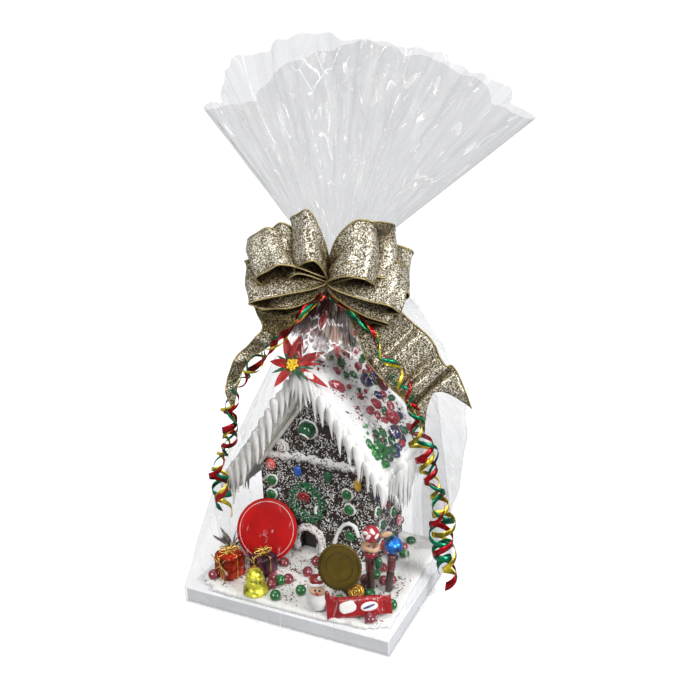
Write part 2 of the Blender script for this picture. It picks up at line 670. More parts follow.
def hull_tree():
    bm = bmesh.new()
    for point in FILM_POINTS:
        bm.verts.new(point)
    for k in range(24):
        a = TAU * k / 24
        bm.verts.new((NECK.x + 27.5 * math.cos(a), NECK.y + 27.5 * math.sin(a), NECK_LOW))
        bm.verts.new((NECK.x - 11.0 + 50.0 * math.cos(a), NECK.y + 46.0 * math.sin(a), 296.0))
    bmesh.ops.convex_hull(bm, input=bm.verts)
    bmesh.ops.triangulate(bm, faces=bm.faces)
    tree = BVHTree.FromBMesh(bm)
    bm.free()
    return tree


HULL = hull_tree()


def pleat(angle, count, seed):
    """A row of folds round the neck, sharp outwards."""
    warp = 0.9 * math.sin(3 * angle + seed) + 0.6 * math.sin(7 * angle + 2.1 * seed)
    value = (angle * count + warp) / TAU
    return abs(2.0 * (value - math.floor(value)) - 1.0)


def body_ring(z):
    share = z / NECK_LOW
    centre = Vector((8.0 * share * share, 10.0 + 38.0 * share * share, z))
    ring = []
    high = max(0.0, (z - 180.0) / (NECK_LOW - 180.0))
    for k in range(AROUND):
        a = TAU * k / AROUND
        out = Vector((math.cos(a), math.sin(a), 0.0))
        hit = HULL.ray_cast(centre + out * 400.0, -out)[0]
        reach = (hit - centre).length if hit else 20.0
        fold = facet(AROUND_CELLS * k / AROUND + 0.35 * math.sin(z / 31.0), z / 34.0, 3.0, AROUND_CELLS) - 0.5
        crease = facet(64.0 * k / AROUND + 0.5 * math.sin(z / 17.0), z / 13.0, 5.0, 64) - 0.5
        low = min(1.0, max(0.0, (z - 3.0) / 30.0))
        depth = low * (2.2 * fold + 1.1 * crease)
        depth += high * high * (5.0 * pleat(a, 19, 1.0) + 2.5 * pleat(a, 43, 2.0) + 3.0 * pleat(a, 8, 3.0) - 3.0)
        ring.append(centre + out * (reach - depth * min(1.0, reach / 40.0)))
    return ring


AROUND_CELLS = 26


def neck_film_ring(share):
    """From the shoulder up to the tie."""
    radius = 12.5 + 15.0 * (1.0 - share) ** 0.9
    z = NECK_LOW + (TIE_Z - NECK_LOW) * share
    ring = []
    for k in range(AROUND):
        a = TAU * k / AROUND
        reach = radius - 3.6 * pleat(a, 19, 1.0) - 1.8 * pleat(a, 43, 2.0) + 3.0 - 3.0 * (1.0 - share) * pleat(a, 8, 3.0)
        ring.append(Vector((NECK.x + reach * math.cos(a), NECK.y + reach * math.sin(a), z)))
    return ring


def fan_film_ring(share):
    ring = []
    for k in range(AROUND):
        a = TAU * k / AROUND
        c, s = math.cos(a), math.sin(a)
        lean_deg = 7.0 + 46.4 * c
        lean = math.radians(lean_deg)
        length = lookup(FAN_EDGE, lean_deg)
        ragged = 2.2 * math.sin(11 * a + 1.0) + 1.6 * math.sin(23 * a) + 1.2 * math.sin(41 * a + 2.0)
        length += ragged * abs(s)
        if s < 0:
            length -= 9.0 * abs(s) * (0.5 + 0.5 * math.sin(3.1 * a + 0.4))
        tip = Vector((math.sin(lean), (0.30 if s > 0 else 0.17) * s, math.cos(lean))).normalized()
        start = Vector((NECK.x + 12.0 * c, NECK.y + 12.0 * s, TIE_Z + 6.0))
        open_up = share ** 1.1
        fold = (facet(26.0 * k / AROUND + 0.40 * math.sin(4.0 * share + a), 3.1 * share, 11.0, 26) - 0.5) * 24.0
        fold += (facet(64.0 * k / AROUND + 0.6 * math.sin(9.0 * share), 8.0 * share, 13.0, 64) - 0.5) * 10.0
        fold += (pleat(a, 17, 4.0) - 0.5) * 7.0 + (pleat(a, 47, 5.0) - 0.5) * 5.0 + (pleat(a, 83, 6.0) - 0.5) * 2.5
        push = Vector((0.15 * c, s if abs(s) > 0.2 else 0.4 * s, 0.0))
        ring.append(start + tip * (length * share) + push * (fold * open_up * min(1.0, 3.0 * abs(s))))
    return ring


FLAP_EDGE = ((30, 118), (62, 131), (96, 141), (137, 149), (180, 152), (219, 151), (255, 137), (290, 123), (338, 87))


def build_flap():
    """A loose fold of film that stands out behind on the right."""
    rows = []
    for i in range(84):
        z = 14.0 + 322.0 * i / 83
        edge = lookup(FLAP_EDGE, z)
        root = min(edge - 8.0, 92.0 - 0.17 * max(0.0, z - 120.0))
        row = []
        for j in range(33):
            t = j / 32 * 2.0 - 1.0
            x = edge - (edge - root) * abs(t) ** 1.3
            y = 80.0 + 15.0 * t + (facet(9.0 * (t + 1.0), z / 30.0, 21.0, 64) - 0.5) * 9.0 * (0.35 + abs(t) * 0.4)
            x += (facet(7.0 * (t + 1.0), z / 22.0, 23.0, 64) - 0.5) * 5.0
            row.append(Vector((x, y, z)))
        rows.append(row)
    verts = [v for row in rows for v in row]
    faces = [(i * 33 + j, i * 33 + j + 1, (i + 1) * 33 + j + 1, (i + 1) * 33 + j) for i in range(83) for j in range(32)]
    build = Build()
    build.add((verts, faces))
    build.piece("film_flap", [FLAP_FILM])


def build_folds():
    """Surplus film, crumpled flat under the front edges of the board, and two long creases."""
    build = Build()
    for start, end, way in (((-129, -104, 0), (129, -104, 0), (0, -1, 0)), ((129, -104, 0), (129, 60, 0), (1, 0, 0))):
        start, end, way = Vector(start), Vector(end), Vector(way)
        rows = []
        for k in range(90):
            p = start.lerp(end, k / 89)
            out = 1.5 + 7.0 * facet(0.16 * k, 2.0, 31.0, 64) ** 2 + 1.5 * facet(0.5 * k, 1.0, 33.0, 64)
            row = []
            for j in range(6):
                t = j / 5
                height = 1.6 * (1.0 - t) ** 2 + 0.4 + 1.8 * facet(0.4 * k, 3.0 * t, 35.0, 64) * (1.0 - abs(2.0 * t - 1.0))
                row.append(p + way * (out * t - 1.0) + Vector((0.0, 0.0, height)))
            rows.append(row)
        verts = [v for row in rows for v in row]
        faces = [(i * 6 + j, i * 6 + j + 1, (i + 1) * 6 + j + 1, (i + 1) * 6 + j) for i in range(89) for j in range(5)]
        build.add((verts, faces))
    build.piece("film_folds", [FOLD_FILM])


def build_film():
    levels = [0.3, 1.2, 3.0, 6.0, 10.0, 14.0, 17.0, 19.0, 21.0]
    levels += [24.0 + 3.0 * k for k in range(75)]
    levels += [249.0 + 2.1 * k for k in range(38)]
    rings = [body_ring(z) for z in levels]
    rings += [neck_film_ring(k / 12) for k in range(13)]
    rings += [fan_film_ring((k / 56) ** 1.05) for k in range(57)]
    verts = [v for ring in rings for v in ring]
    faces = []
    for r in range(len(rings) - 1):
        a, b = r * AROUND, (r + 1) * AROUND
        for k in range(AROUND):
            after = (k + 1) % AROUND
            faces.append((a + k, a + after, b + after, b + k))
    inner = rings[0]
    for shrink in (0.94, 0.7, 0.35):
        ring = [Vector((v.x * shrink, v.y * shrink, 0.25 + 0.3 * chance_at(k, 3, shrink))) for k, v in enumerate(inner)]
        start = len(verts)
        before = 0 if shrink == 0.94 else start - AROUND
        verts += ring
        for k in range(AROUND):
            after = (k + 1) % AROUND
            faces.append((before + after, before + k, start + k, start + after))
    verts.append(Vector((0.0, 0.0, 0.3)))
    last = len(verts) - 1 - AROUND
    for k in range(AROUND):
        faces.append((last + (k + 1) % AROUND, last + k, len(verts) - 1))
    build = Build()
    build.add((verts, faces))
    shoulder, tie = len([z for z in levels if z < 268.0]), len(levels) + 12
    bands = [0] * shoulder + [2] * (tie - shoulder) + [1] * (len(rings) - 1 - tie)
    behind = range(round(AROUND * 42 / 360), round(AROUND * 195 / 360))
    beside = range(round(AROUND * 195 / 360), round(AROUND * 236 / 360))
    low = len([z for z in levels if z < 178.0])
    build.mats = [3 if band == 0 and (k in behind or (k in beside and r >= low)) else band
                  for r, band in enumerate(bands) for k in range(AROUND)]
    build.mats += [0] * (len(faces) - AROUND * (len(rings) - 1))
    build.piece("film", [FILM, FAN_FILM, NECK_FILM, BACK_FILM], ("bag",))


build_film()
build_flap()
build_folds()

# ---------------------------------------------------------------- snow

def snow_rim(angle, inset):
    c, s = math.cos(angle), math.sin(angle)
    x = math.copysign(abs(c) ** 0.26, c) * 120.5
    y = math.copysign(abs(s) ** 0.26, s) * (108.0 if s > 0 else 96.5)
    bump = 1.7 * math.sin(5 * angle + 0.6) + 1.2 * math.sin(9 * angle + 2.0) + 0.9 * math.sin(17 * angle)
    bump += 0.6 * math.sin(31 * angle + 1.0) + 0.5 * math.sin(53 * angle)
    shrink = 1.0 - (inset + bump) / 110.0
    return x * shrink, min(y * shrink, 99.3)


def snow_height(x, y):
    house = max(abs(x - HOUSE_X) - HALF_W, abs(y - 54.0) - 42.5)
    pad = min(1.0, max(0.0, (13.0 - house) / 12.0))
    pad = pad * pad * (3.0 - 2.0 * pad)
    z = YARD_Z + (PAD_Z - YARD_Z) * pad
    rough = 0.0 if house < 1.0 else min(1.0, house / 6.0)
    z += rough * (0.9 * noise.noise(Vector((x / 16.0, y / 16.0, 1.0))) + 0.45 * noise.noise(Vector((x / 5.0, y / 5.0, 4.0))))
    return z


def build_snow():
    steps = 220
    rings = []
    for inset, z in ((1.2, 17.9), (0.2, 18.9), (-0.2, 20.4), (0.6, 21.9), (2.2, 23.0)):
        ring = []
        for k in range(steps):
            a = TAU * k / steps
            x, y = snow_rim(a, inset + 0.5 * math.sin(71 * a + z))
            ring.append(Vector((x, y, z + (0.4 * math.sin(37 * a) if z > 18.0 else 0.0))))
        rings.append(ring)
    rim = rings[-1]
    for k in range(1, 26):
        share = (1.0 - k / 26.0) ** 0.9
        ring = []
        for v in rim:
            x, y = v.x * share, v.y * share
            ring.append(Vector((x, y, snow_height(x, y))))
        rings.append(ring)
    verts = [v for ring in rings for v in ring]
    faces = []
    for r in range(len(rings) - 1):
        a, b = r * steps, (r + 1) * steps
        for k in range(steps):
            after = (k + 1) % steps
            faces.append((a + k, a + after, b + after, b + k))
    faces.append(tuple(reversed(range(steps))))
    last = (len(rings) - 1) * steps
    verts.append(Vector((0.0, 0.0, snow_height(0.0, 0.0))))
    for k in range(steps):
        faces.append((last + k, last + (k + 1) % steps, len(verts) - 1))
    build = Build()
    build.add((verts, faces))
    build.piece("snow", [SNOW], ("snow_base",))


# ---------------------------------------------------------------- icing

TIPS_LEFT = ((-131, 82), (-121.5, 90), (-101, 114), (-91, 127), (-78, 152), (-69.5, 165), (-61, 176.5), (-54, 188),
             (-46, 200), (-36, 215), (-29, 227), (-12, 232))
TIPS_RIGHT = ((-20, 222), (-5, 217), (3, 209), (15, 201), (23, 185.5), (32.5, 166), (41, 156), (50, 143), (59, 129),
              (68, 122), (81, 108))
TIPS_EAVE = ((-11, 114), (11, 109), (40, 94), (61, 76), (81, 74), (89, 90), (100, 104), (122, 100))


def icicle(build, top, tip, radius, chance, sides=7):
    """A piped point: thick where it starts, drawn out thin below."""
    top, tip = Vector(top), Vector(tip)
    length = (top - tip).length
    lean = Vector((chance.uniform(-1.0, 1.0), chance.uniform(-0.6, 0.6), 0.0)) * 0.04 * length
    path, radii = [], []
    shape = ((0.0, 0.6), (0.07, 0.98), (0.22, 1.08), (0.42, 0.86), (0.62, 0.60), (0.8, 0.36), (0.93, 0.17), (1.0, 0.03))
    for share, size in shape:
        path.append(top.lerp(tip, share) + lean * math.sin(math.pi * share))
        radii.append(radius * size * chance.uniform(0.94, 1.06))
    build.add(tube(path, radii, sides, flat=0.82, up=Vector((0.0, 1.0, 0.0))))


def soft_top(x):
    """Top of the icing coat, rounded over the ridge."""
    away = math.sqrt((x - HOUSE_X) ** 2 + 30.0) - 0.5
    return APEX_Z - TAN * away + 22.6 / COS


def build_roof_icing():
    build = Build()
    chance = random.Random(21)
    left, right = -132.0, 82.0
    count = 76
    rows = []
    for i in range(46):
        y = -1.0 + 122.0 * i / 45
        row = []
        for j in range(count):
            x = left + (right - left) * j / (count - 1)
            z = soft_top(x)
            edge = min(x - left, right - x)
            if edge < 9.0:
                z -= (9.0 - edge) ** 2 / 9.0
            lump = 1.1 * noise.noise(Vector((x / 21.0, y / 24.0, z / 21.0)))
            lump += 0.5 * noise.noise(Vector((x / 7.0, y / 9.0, z / 8.0)))
            row.append(Vector((x + lump * SIN * (1 if x > HOUSE_X else -1), y, z + lump * COS)))
        for x in (right, 60.0, HOUSE_X, -110.0, left):
            row.append(Vector((x, y, roof_line(x, 9.7))))
        rows.append(row)
    width = len(rows[0])
    verts = [v for row in rows for v in row]
    faces = []
    for i in range(len(rows) - 1):
        for j in range(width):
            after = (j + 1) % width
            faces.append((i * width + j, i * width + after, (i + 1) * width + after, (i + 1) * width + j))
    faces.append(tuple(reversed(range(width))))
    faces.append(tuple(range((len(rows) - 1) * width, len(rows) * width)))
    build.add((verts, faces))
    build.mats = [1 if len(face) == 4 and verts[face[0]].x < HOUSE_X - 8.0 else 0 for face in faces]
    for y in (0.4, 121.0):
        for ends in (((-131.5, 12.4), (HOUSE_X + 2.0, 11.6)), ((HOUSE_X - 2.0, 11.6), (81.5, 11.0))):
            path, radii = [], []
            for k in range(40):
                x = ends[0][0] + (ends[1][0] - ends[0][0]) * k / 39
                lift = ends[0][1] + (ends[1][1] - ends[0][1]) * k / 39
                path.append(Vector((x, y + 0.6 * math.sin(1.7 * k), roof_line(x, lift) + 0.8 * math.sin(2.3 * k))))
                radii.append(10.8 + 0.5 * math.sin(1.3 * k))
            build.add(tube(path, radii, 14, flat=0.2, up=Vector((0.0, 1.0, 0.0))), None, 1 if ends[0][0] < HOUSE_X - 8.0 else 0)
    verge_icicles(build, chance)
    eave_icicles(build, chance)
    build.piece("roof_icing_coat", [ICING, GREY_ICING], ("roof_icing",))


PILE = ((-131, -5), (-101, -3), (-60, 3), (-40, 5), (-11, 2), (20, -4), (81, -7))


def verge_icicles(build, chance):
    for y, drawn in ((-4.4, True), (124.0, False)):
        for low, high, tips in ((-130.0, HOUSE_X - 2.0, TIPS_LEFT), (HOUSE_X - 5.0, 81.0, TIPS_RIGHT)):
            left = high < 0.0
            x = low
            while x < high:
                for depth, shorter in ((0.0, 0.0), (2.8, 17.0)):
                    px = x + chance.uniform(-1.0, 1.0) + (3.8 if depth else 0.0)
                    swing = chance.uniform(-12.0, 7.0) + shorter * (1.0 if drawn else 0.6)
                    top_z = roof_top(px) + lookup(PILE, px) - chance.uniform(0.0, 5.0)
                    slant = chance.uniform(-2.2, 1.2) if left else chance.uniform(-0.5, 1.5)
                    tip_z = lookup(tips, px + slant) + swing - (6.0 if left else 0.0)
                    size = chance.uniform(4.8, 6.4) if left else chance.uniform(3.9, 5.2)
                    icicle(build, (px, y + depth + chance.uniform(-0.6, 1.2), top_z),
                           (px + slant, y + depth - chance.uniform(0.6, 2.6), min(tip_z, top_z - 16.0)),
                           size if not depth else 0.75 * size, chance, 9)
                x += chance.uniform(9.0, 12.0) if left else chance.uniform(8.0, 11.0)
    for k in range(8):
        a = math.pi * (0.04 + 0.92 * k / 7)
        top = Vector((HOUSE_X - 9.5 * math.cos(a), -6.5, APEX_Z + 31.0 - 3.0 * abs(math.cos(a))))
        drop = Vector((-7.0 * math.cos(a), -0.8, -25.0 - 19.0 * math.sin(a) * chance.uniform(0.7, 1.1)))
        icicle(build, top, top + drop, 4.3, chance, 9)


def eave_icicles(build, chance):
    for side in (1, -1):
        y = -3.0
        while y < 121.0:
            if side > 0:
                x, start = 80.5, roof_top(80.5) - 10.0
                tip = lookup(TIPS_EAVE, y)
            else:
                x, start = -129.5, roof_top(-129.5) - 9.0
                tip = 84.0 + 5.0 * math.sin(y / 9.0)
            for out, longer in ((0.0, 0.0), (-2.6, 13.0)):
                py = y + chance.uniform(-1.0, 1.0)
                icicle(build, (x + side * out, py, start - chance.uniform(0.0, 4.0)),
                       (x + side * (out + chance.uniform(-1.2, 0.6)), py, tip + chance.uniform(-6.0, 5.0) + longer),
                       chance.uniform(3.0, 4.0), chance)
            y += chance.uniform(5.2, 6.6)
        path = [Vector((side * 80.0 if side > 0 else -129.0, 1.0 + 120.0 * k / 30, 0.0)) for k in range(31)]
        for k, p in enumerate(path):
            p.z = roof_top(p.x) - 12.0 + 0.8 * math.sin(1.9 * k)
            p.x += 0.8 * math.sin(2.7 * k)
        build.add(tube(path, [7.6 + 0.6 * math.sin(1.1 * k) for k in range(31)], 12, flat=0.6,
                       up=Vector((1.0, 0.0, 0.0))))


def rough_bead(path, radius, seed, sides=10, rough=0.18):
    """A squeezed line of icing with a lumpy surface."""
    verts, faces = tube(path, radius, sides)
    moved = []
    for v in verts:
        n = noise.noise(v * 0.21 + Vector((seed, 0.0, 0.0))) + 0.6 * noise.noise(v * 0.6)
        moved.append(v + Vector((n, n * 0.6 * math.sin(v.x), n)) * radius * rough)
    return moved, faces


def build_wall_icing():
    """The bands of icing on the front wall: under the roof, at the eaves, round the door and beside it."""
    seals = Build()
    for side in (-1, 1):
        rows = []
        for k in range(34):
            x = HOUSE_X + side * (0.4 + (HALF_W + 0.4) * k / 33)
            top = roof_line(x) - 0.9
            row = []
            for j in range(5):
                drop = 7.5 * j / 4 * (1.0 + 0.06 * math.sin(2.1 * k + j))
                row.append(Vector((x, FRONT_Y - 1.6 - 1.4 * math.sin(math.pi * j / 4) - 0.3 * math.sin(1.7 * k + j), top - drop)))
            rows.append(row if side < 0 else row[::-1])
        seals.add(sheet(rows, 2.4), None, 0)
    seals.mats = [0] * len(seals.faces)
    seals.piece("gable_icing", [DULL_ICING], ("gable_seal_left", "gable_seal_right"))

    band = Build()
    chance = random.Random(5)
    rows = []
    for k in range(60):
        x = -77.0 + 131.0 * k / 59
        middle = lookup(((-77, 148), (-60, 148), (-29, 150), (9, 148.5), (50, 145.4), (54, 144)), x)
        half = 4.6 + 1.6 * math.sin(0.7 * k) + 1.0 * math.sin(1.9 * k + 1.0)
        row = []
        for j in range(7):
            t = j / 6 * 2.0 - 1.0
            z = middle + half * t + 0.8 * noise.noise(Vector((x / 4.0, j * 1.3, 2.0)))
            z = min(z, roof_line(x) - 3.0)
            row.append(Vector((x, FRONT_Y - 0.6 - 2.0 * (1.0 - t * t) - 0.7 * noise.noise(Vector((x / 5.0, j, 9.0))), z)))
        rows.append(row[::-1])
    band.add(sheet(rows, 1.4))
    band.mats = [0] * len(band.faces)
    for _ in range(70):
        x = chance.uniform(-74.0, 50.0)
        z = lookup(((-77, 148), (-29, 150), (9, 148.5), (54, 144)), x) + chance.uniform(-4.0, 4.0)
        band.add(SPRINKLE, at(x, FRONT_Y - 3.3, z, (chance.uniform(-1, 1), -0.3, chance.uniform(-1, 1))), 1 + chance.randrange(3))
    band.piece("eave_icing_band", [ICING, RED, BROWN, GREEN], ("eave_band",))

    door = Build()
    reach, spring, y = 16.8, 43.5, FRONT_Y - 3.0
    path = [Vector((-22.5 + reach, y, 28.5)), Vector((-22.5 + reach + 0.8, y, 36.0))]
    for k in range(15):
        a = math.pi * k / 14
        path.append(Vector((-22.5 + reach * math.cos(a), y - 0.5 * math.sin(a), spring + (reach - 0.5) * math.sin(a))))
    path += [Vector((-22.5 - reach - 0.6, y, 36.0)), Vector((-22.5 - reach, y, 28.5))]
    path = smooth_path(path, 3)
    door.add(rough_bead(path, 4.6, 1.0, 12, 0.34))
    for _ in range(260):
        k = chance.randrange(len(path))
        a = chance.uniform(0, TAU)
        p = path[k] + Vector((math.cos(a) * 4.4, -abs(chance.uniform(1.5, 4.6)), math.sin(a) * 4.4))
        door.add(SPRINKLE, at(*p, (chance.uniform(-1, 1), -0.5, chance.uniform(-1, 1)), 0.0, 0.8), 1 + (chance.random() < 0.3))
    door.piece("door_arch_icing", [ICING, RED, BROWN], ("door_icing",))

    arch = Build()
    line = smooth_path([(12, 9, 44), (13.5, 9, 52), (18, 9, 63), (25, 9, 72), (33, 9, 75), (40, 9, 71), (43.5, 9, 60)], 5)
    arch.add(rough_bead([Vector((p.x, FRONT_Y - 2.2, p.z)) for p in line], 2.3, 4.0, 10, 0.22))
    arch.piece("side_arch_icing", [ICING], ("side_arch",))


def flake(chance, size):
    """A sugar crystal: a squashed, uneven eight-sided grain."""
    a, b, c = (size * chance.uniform(0.6, 1.3) for _ in range(3))
    verts = [(a, 0, 0), (0, b, 0), (-a, 0.2 * b, 0), (0, -b, 0), (0.1, 0, 0.6 * c), (0, 0.1, -0.4 * c)]
    faces = [(0, 1, 4), (1, 2, 4), (2, 3, 4), (3, 0, 4), (1, 0, 5), (2, 1, 5), (3, 2, 5), (0, 3, 5)]
    return verts, faces


def build_sugar():
    """Sugar that clings to the walls."""
    build = Build()
    chance = random.Random(33)
    made = 0
    while made < 4300:
        x, z = chance.uniform(-85.5, 62.5), chance.uniform(28.0, 226.0)
        if z > roof_line(x) - 4.0:
            continue
        if abs(x + 22.5) < 14.5 and z < 58.0:
            continue
        thick = noise.noise(Vector((x / 14.0, z / 14.0, 3.0))) + 0.5 * noise.noise(Vector((x / 5.0, z / 5.0, 7.0)))
        if thick < chance.uniform(-0.55, 0.45):
            continue
        build.add(flake(chance, chance.uniform(0.5, 1.05)),
                  at(x, FRONT_Y - 0.25, z, (chance.uniform(-0.3, 0.3), -1.0, chance.uniform(-0.3, 0.3)), chance.uniform(0, 3)))
        made += 1
    for side, x in ((1, 63.0), (-1, -86.0)):
        for _ in range(1900):
            y, z = chance.uniform(12.0, 96.0), chance.uniform(28.0, 138.0)
            if noise.noise(Vector((y / 12.0, z / 12.0, 5.0 * side))) < chance.uniform(-0.7, 0.3):
                continue
            build.add(flake(chance, chance.uniform(0.45, 0.9)),
                      at(x + 0.25 * side, y, z, (side, chance.uniform(-0.3, 0.3), chance.uniform(-0.3, 0.3)), chance.uniform(0, 3)))
    for _ in range(1900):
        x, z = chance.uniform(-85.0, 62.0), chance.uniform(28.0, 226.0)
        if z < roof_line(x) - 4.0:
            build.add(flake(chance, chance.uniform(0.45, 0.9)), at(x, BACK_Y + 0.25, z, (0.1, 1.0, 0.1), chance.uniform(0, 3)))
    build.piece("sugar_flecks", [FLECK], smooth=False)


# ---------------------------------------------------------------- bow

BOW_RIGHT = Vector((0.898, 0.440, 0.0))
BOW_UP = Vector((-0.129, 0.263, 0.956))
BOW_OUT = BOW_RIGHT.cross(BOW_UP)
RIBBON_W = 63.0
# Loops: centre, width axis, long way, half length, half depth (right, up and out from the knot)
LOOPS = (
    ((-46, 0, -2), (-0.12, 0.84, -0.50), (-1.0, 0.04, 0.05), 40, 11, 0.9),
    ((-38, -13, -7), (0.10, 0.93, -0.28), (-0.95, -0.20, -0.05), 34, 10, 0.74),
    ((46, 24, -8), (0.04, 0.97, -0.25), (0.97, 0.0, -0.15), 31, 17, 1.0),
    ((57, 8, -18), (0.16, 0.86, -0.48), (0.95, -0.05, -0.2), 33, 17, 0.9),
    ((-36, 27, -6), (-0.22, 0.93, -0.30), (-0.9, 0.0, -0.1), 21, 17, 1.0),
    ((44, -9, 0), (0.20, 0.90, -0.38), (0.97, -0.16, 0.0), 39, 13, 0.86),
    ((42, -20, -8), (0.30, 0.93, -0.16), (0.90, -0.42, 0.0), 34, 11, 0.80),
    ((-54, 23, 0), (-0.20, 0.80, -0.56), (-0.97, 0.0, 0.0), 27, 18, 0.9),
    ((-14, 37, 10), (-0.06, 0.95, -0.32), (-1.0, 0.0, 0.05), 20, 18, 0.95),
    ((27, 23, 13), (0.13, 0.97, -0.20), (1.0, -0.05, 0.0), 27, 19, 1.0),
)


def bow_point(right, up, out):
    return KNOT + BOW_RIGHT * right + BOW_UP * up + BOW_OUT * out


def bow_way(right, up, out):
    return BOW_RIGHT * right + BOW_UP * up + BOW_OUT * out


def ribbon_grid(centres, widths, axes, seed, across=15, gather=None):
    rows = []
    for i, (p, half, axis) in enumerate(zip(centres, widths, axes)):
        ahead = (centres[min(i + 1, len(centres) - 1)] - centres[max(i - 1, 0)]).normalized()
        face = ahead.cross(axis).normalized()
        row = []
        pinch = gather[i] if gather else 0.0
        for j in range(across):
            s = 2.0 * j / (across - 1) - 1.0
            fold = pinch * 3.2 * math.sin(6.5 * s + seed) + 1.5 * math.sin(2.9 * s + 0.21 * i + seed)
            fold += 2.6 * noise.noise(Vector((0.11 * i, 1.6 * s, seed))) * (1.0 - pinch)
            row.append(p + axis * (half * s) + face * fold)
        rows.append(row)
    return rows


def edge_wires(build, rows, mat):
    """The ribbon's edges are wired and overcast: a line of tiny beads."""
    for j in (0, -1):
        path = smooth_path([row[j] for row in rows], 3)
        radii = [0.75 + 0.35 * (k % 2) for k in range(len(path))]
        build.add(tube(path, radii, 6), None, mat)


def loop_rows(spec, seed):
    centre, axis, way, long_half, deep, width = spec
    axis = bow_way(*axis).normalized()
    way = bow_way(*way)
    way = (way - axis * way.dot(axis)).normalized()
    deep_way = axis.cross(way)
    if deep_way.dot(BOW_OUT) < 0:
        deep_way = -deep_way
    middle = bow_point(*centre)
    steps = 46
    knot = KNOT + BOW_OUT * 3.0
    centres, halves, axes, gather = [], [], [], []
    for k in range(steps + 1):
        t = k / steps
        phi = math.radians(158.0) * (1.0 - 2.0 * t)
        swell = 1.0 + 0.06 * math.sin(5.0 * phi + seed)
        p = middle + way * (long_half * math.cos(phi) * swell) + deep_way * (deep * math.sin(phi) * swell)
        near = min(t, 1.0 - t)
        pull = min(1.0, near / 0.24)
        pull = pull * pull * (3.0 - 2.0 * pull)
        rest = knot + deep_way * (3.5 * (1.0 - 2.0 * t))
        centres.append(rest.lerp(p, pull))
        open_up = min(1.0, near / 0.27)
        halves.append(0.5 * RIBBON_W * width * (0.13 + 0.87 * math.sin(0.5 * math.pi * open_up) ** 1.1))
        axes.append(axis)
        gather.append(1.0 - open_up)
    return ribbon_grid(centres, halves, axes, seed, 15, gather)


def tail_rows(upper, lower, out_near, out_far, ripple, waves, seed, steps=60, across=13):
    """A hanging tail between two edge lines (right, up)."""
    tops = smooth_path([(u, v, 0.0) for u, v in upper], 16)
    lows = smooth_path([(u, v, 0.0) for u, v in lower], 16)
    rows = []
    for i in range(steps + 1):
        t = i / steps
        a = tops[min(len(tops) - 1, round(t * (len(tops) - 1)))]
        b = lows[min(len(lows) - 1, round(t * (len(lows) - 1)))]
        row = []
        for j in range(across):
            s = j / (across - 1)
            p = a.lerp(b, s)
            wave = math.sin(TAU * waves * t + 0.9 * s + seed) + 0.35 * math.sin(TAU * waves * 2.1 * t + 2.0 * s)
            out = out_near + (out_far - out_near) * t + ripple * min(1.0, 3.0 * t + 0.2) * wave
            row.append(bow_point(p.x, p.y, out))
        rows.append(row)
    return rows


def glitter_material(name, dark, mid, bright, cell):
    mat, tree, shader = new_material(name)
    where = coords(tree)
    cells = voronoi(tree, where, cell)
    split = tree.nodes.new("ShaderNodeSeparateColor")
    tree.links.new(cells.outputs["Color"], split.inputs["Color"])
    grains = ramp(tree, split.outputs[0], [(0.24, dark), (0.38, mid), (0.64, mid), (0.72, bright)])
    nook = add_node(tree, "ShaderNodeAmbientOcclusion", samples=8)
    nook.inputs["Distance"].default_value = 0.030
    shade = add_node(tree, "ShaderNodeMix", data_type="RGBA", blend_type="MULTIPLY")
    shade.inputs["Factor"].default_value = 1.0
    tree.links.new(grains, shade.inputs[6])
    tree.links.new(ramp(tree, nook.outputs["AO"], [(0.30, (0.17, 0.12, 0.045)), (0.66, (0.52, 0.45, 0.31)), (0.97, (1.0,) * 3)]), shade.inputs[7])
    tree.links.new(shade.outputs[2], shader.inputs["Base Color"])
    shader.inputs["Metallic"].default_value = 0.4
    tree.links.new(ramp(tree, split.outputs[1], [(0.0, (0.22,) * 3), (1.0, (0.6,) * 3)]), shader.inputs["Roughness"])
    bump(tree, shader, split.outputs[2], 1.0, 0.0011)
    return mat


GLITTER = glitter_material("gold_glitter", (0.026, 0.017, 0.004), (0.20, 0.145, 0.058), (1.0, 0.97, 0.84), 1250.0)
GLITTER_BACK = glitter_material("gold_glitter_back", (0.020, 0.014, 0.004), (0.095, 0.070, 0.024), (0.50, 0.41, 0.20), 1150.0)
WIRE = simple("ribbon_edge", (0.26, 0.19, 0.07), (0.52, 0.42, 0.20), 900.0, 0.4, 1500.0, 0.0002, metallic=0.6)


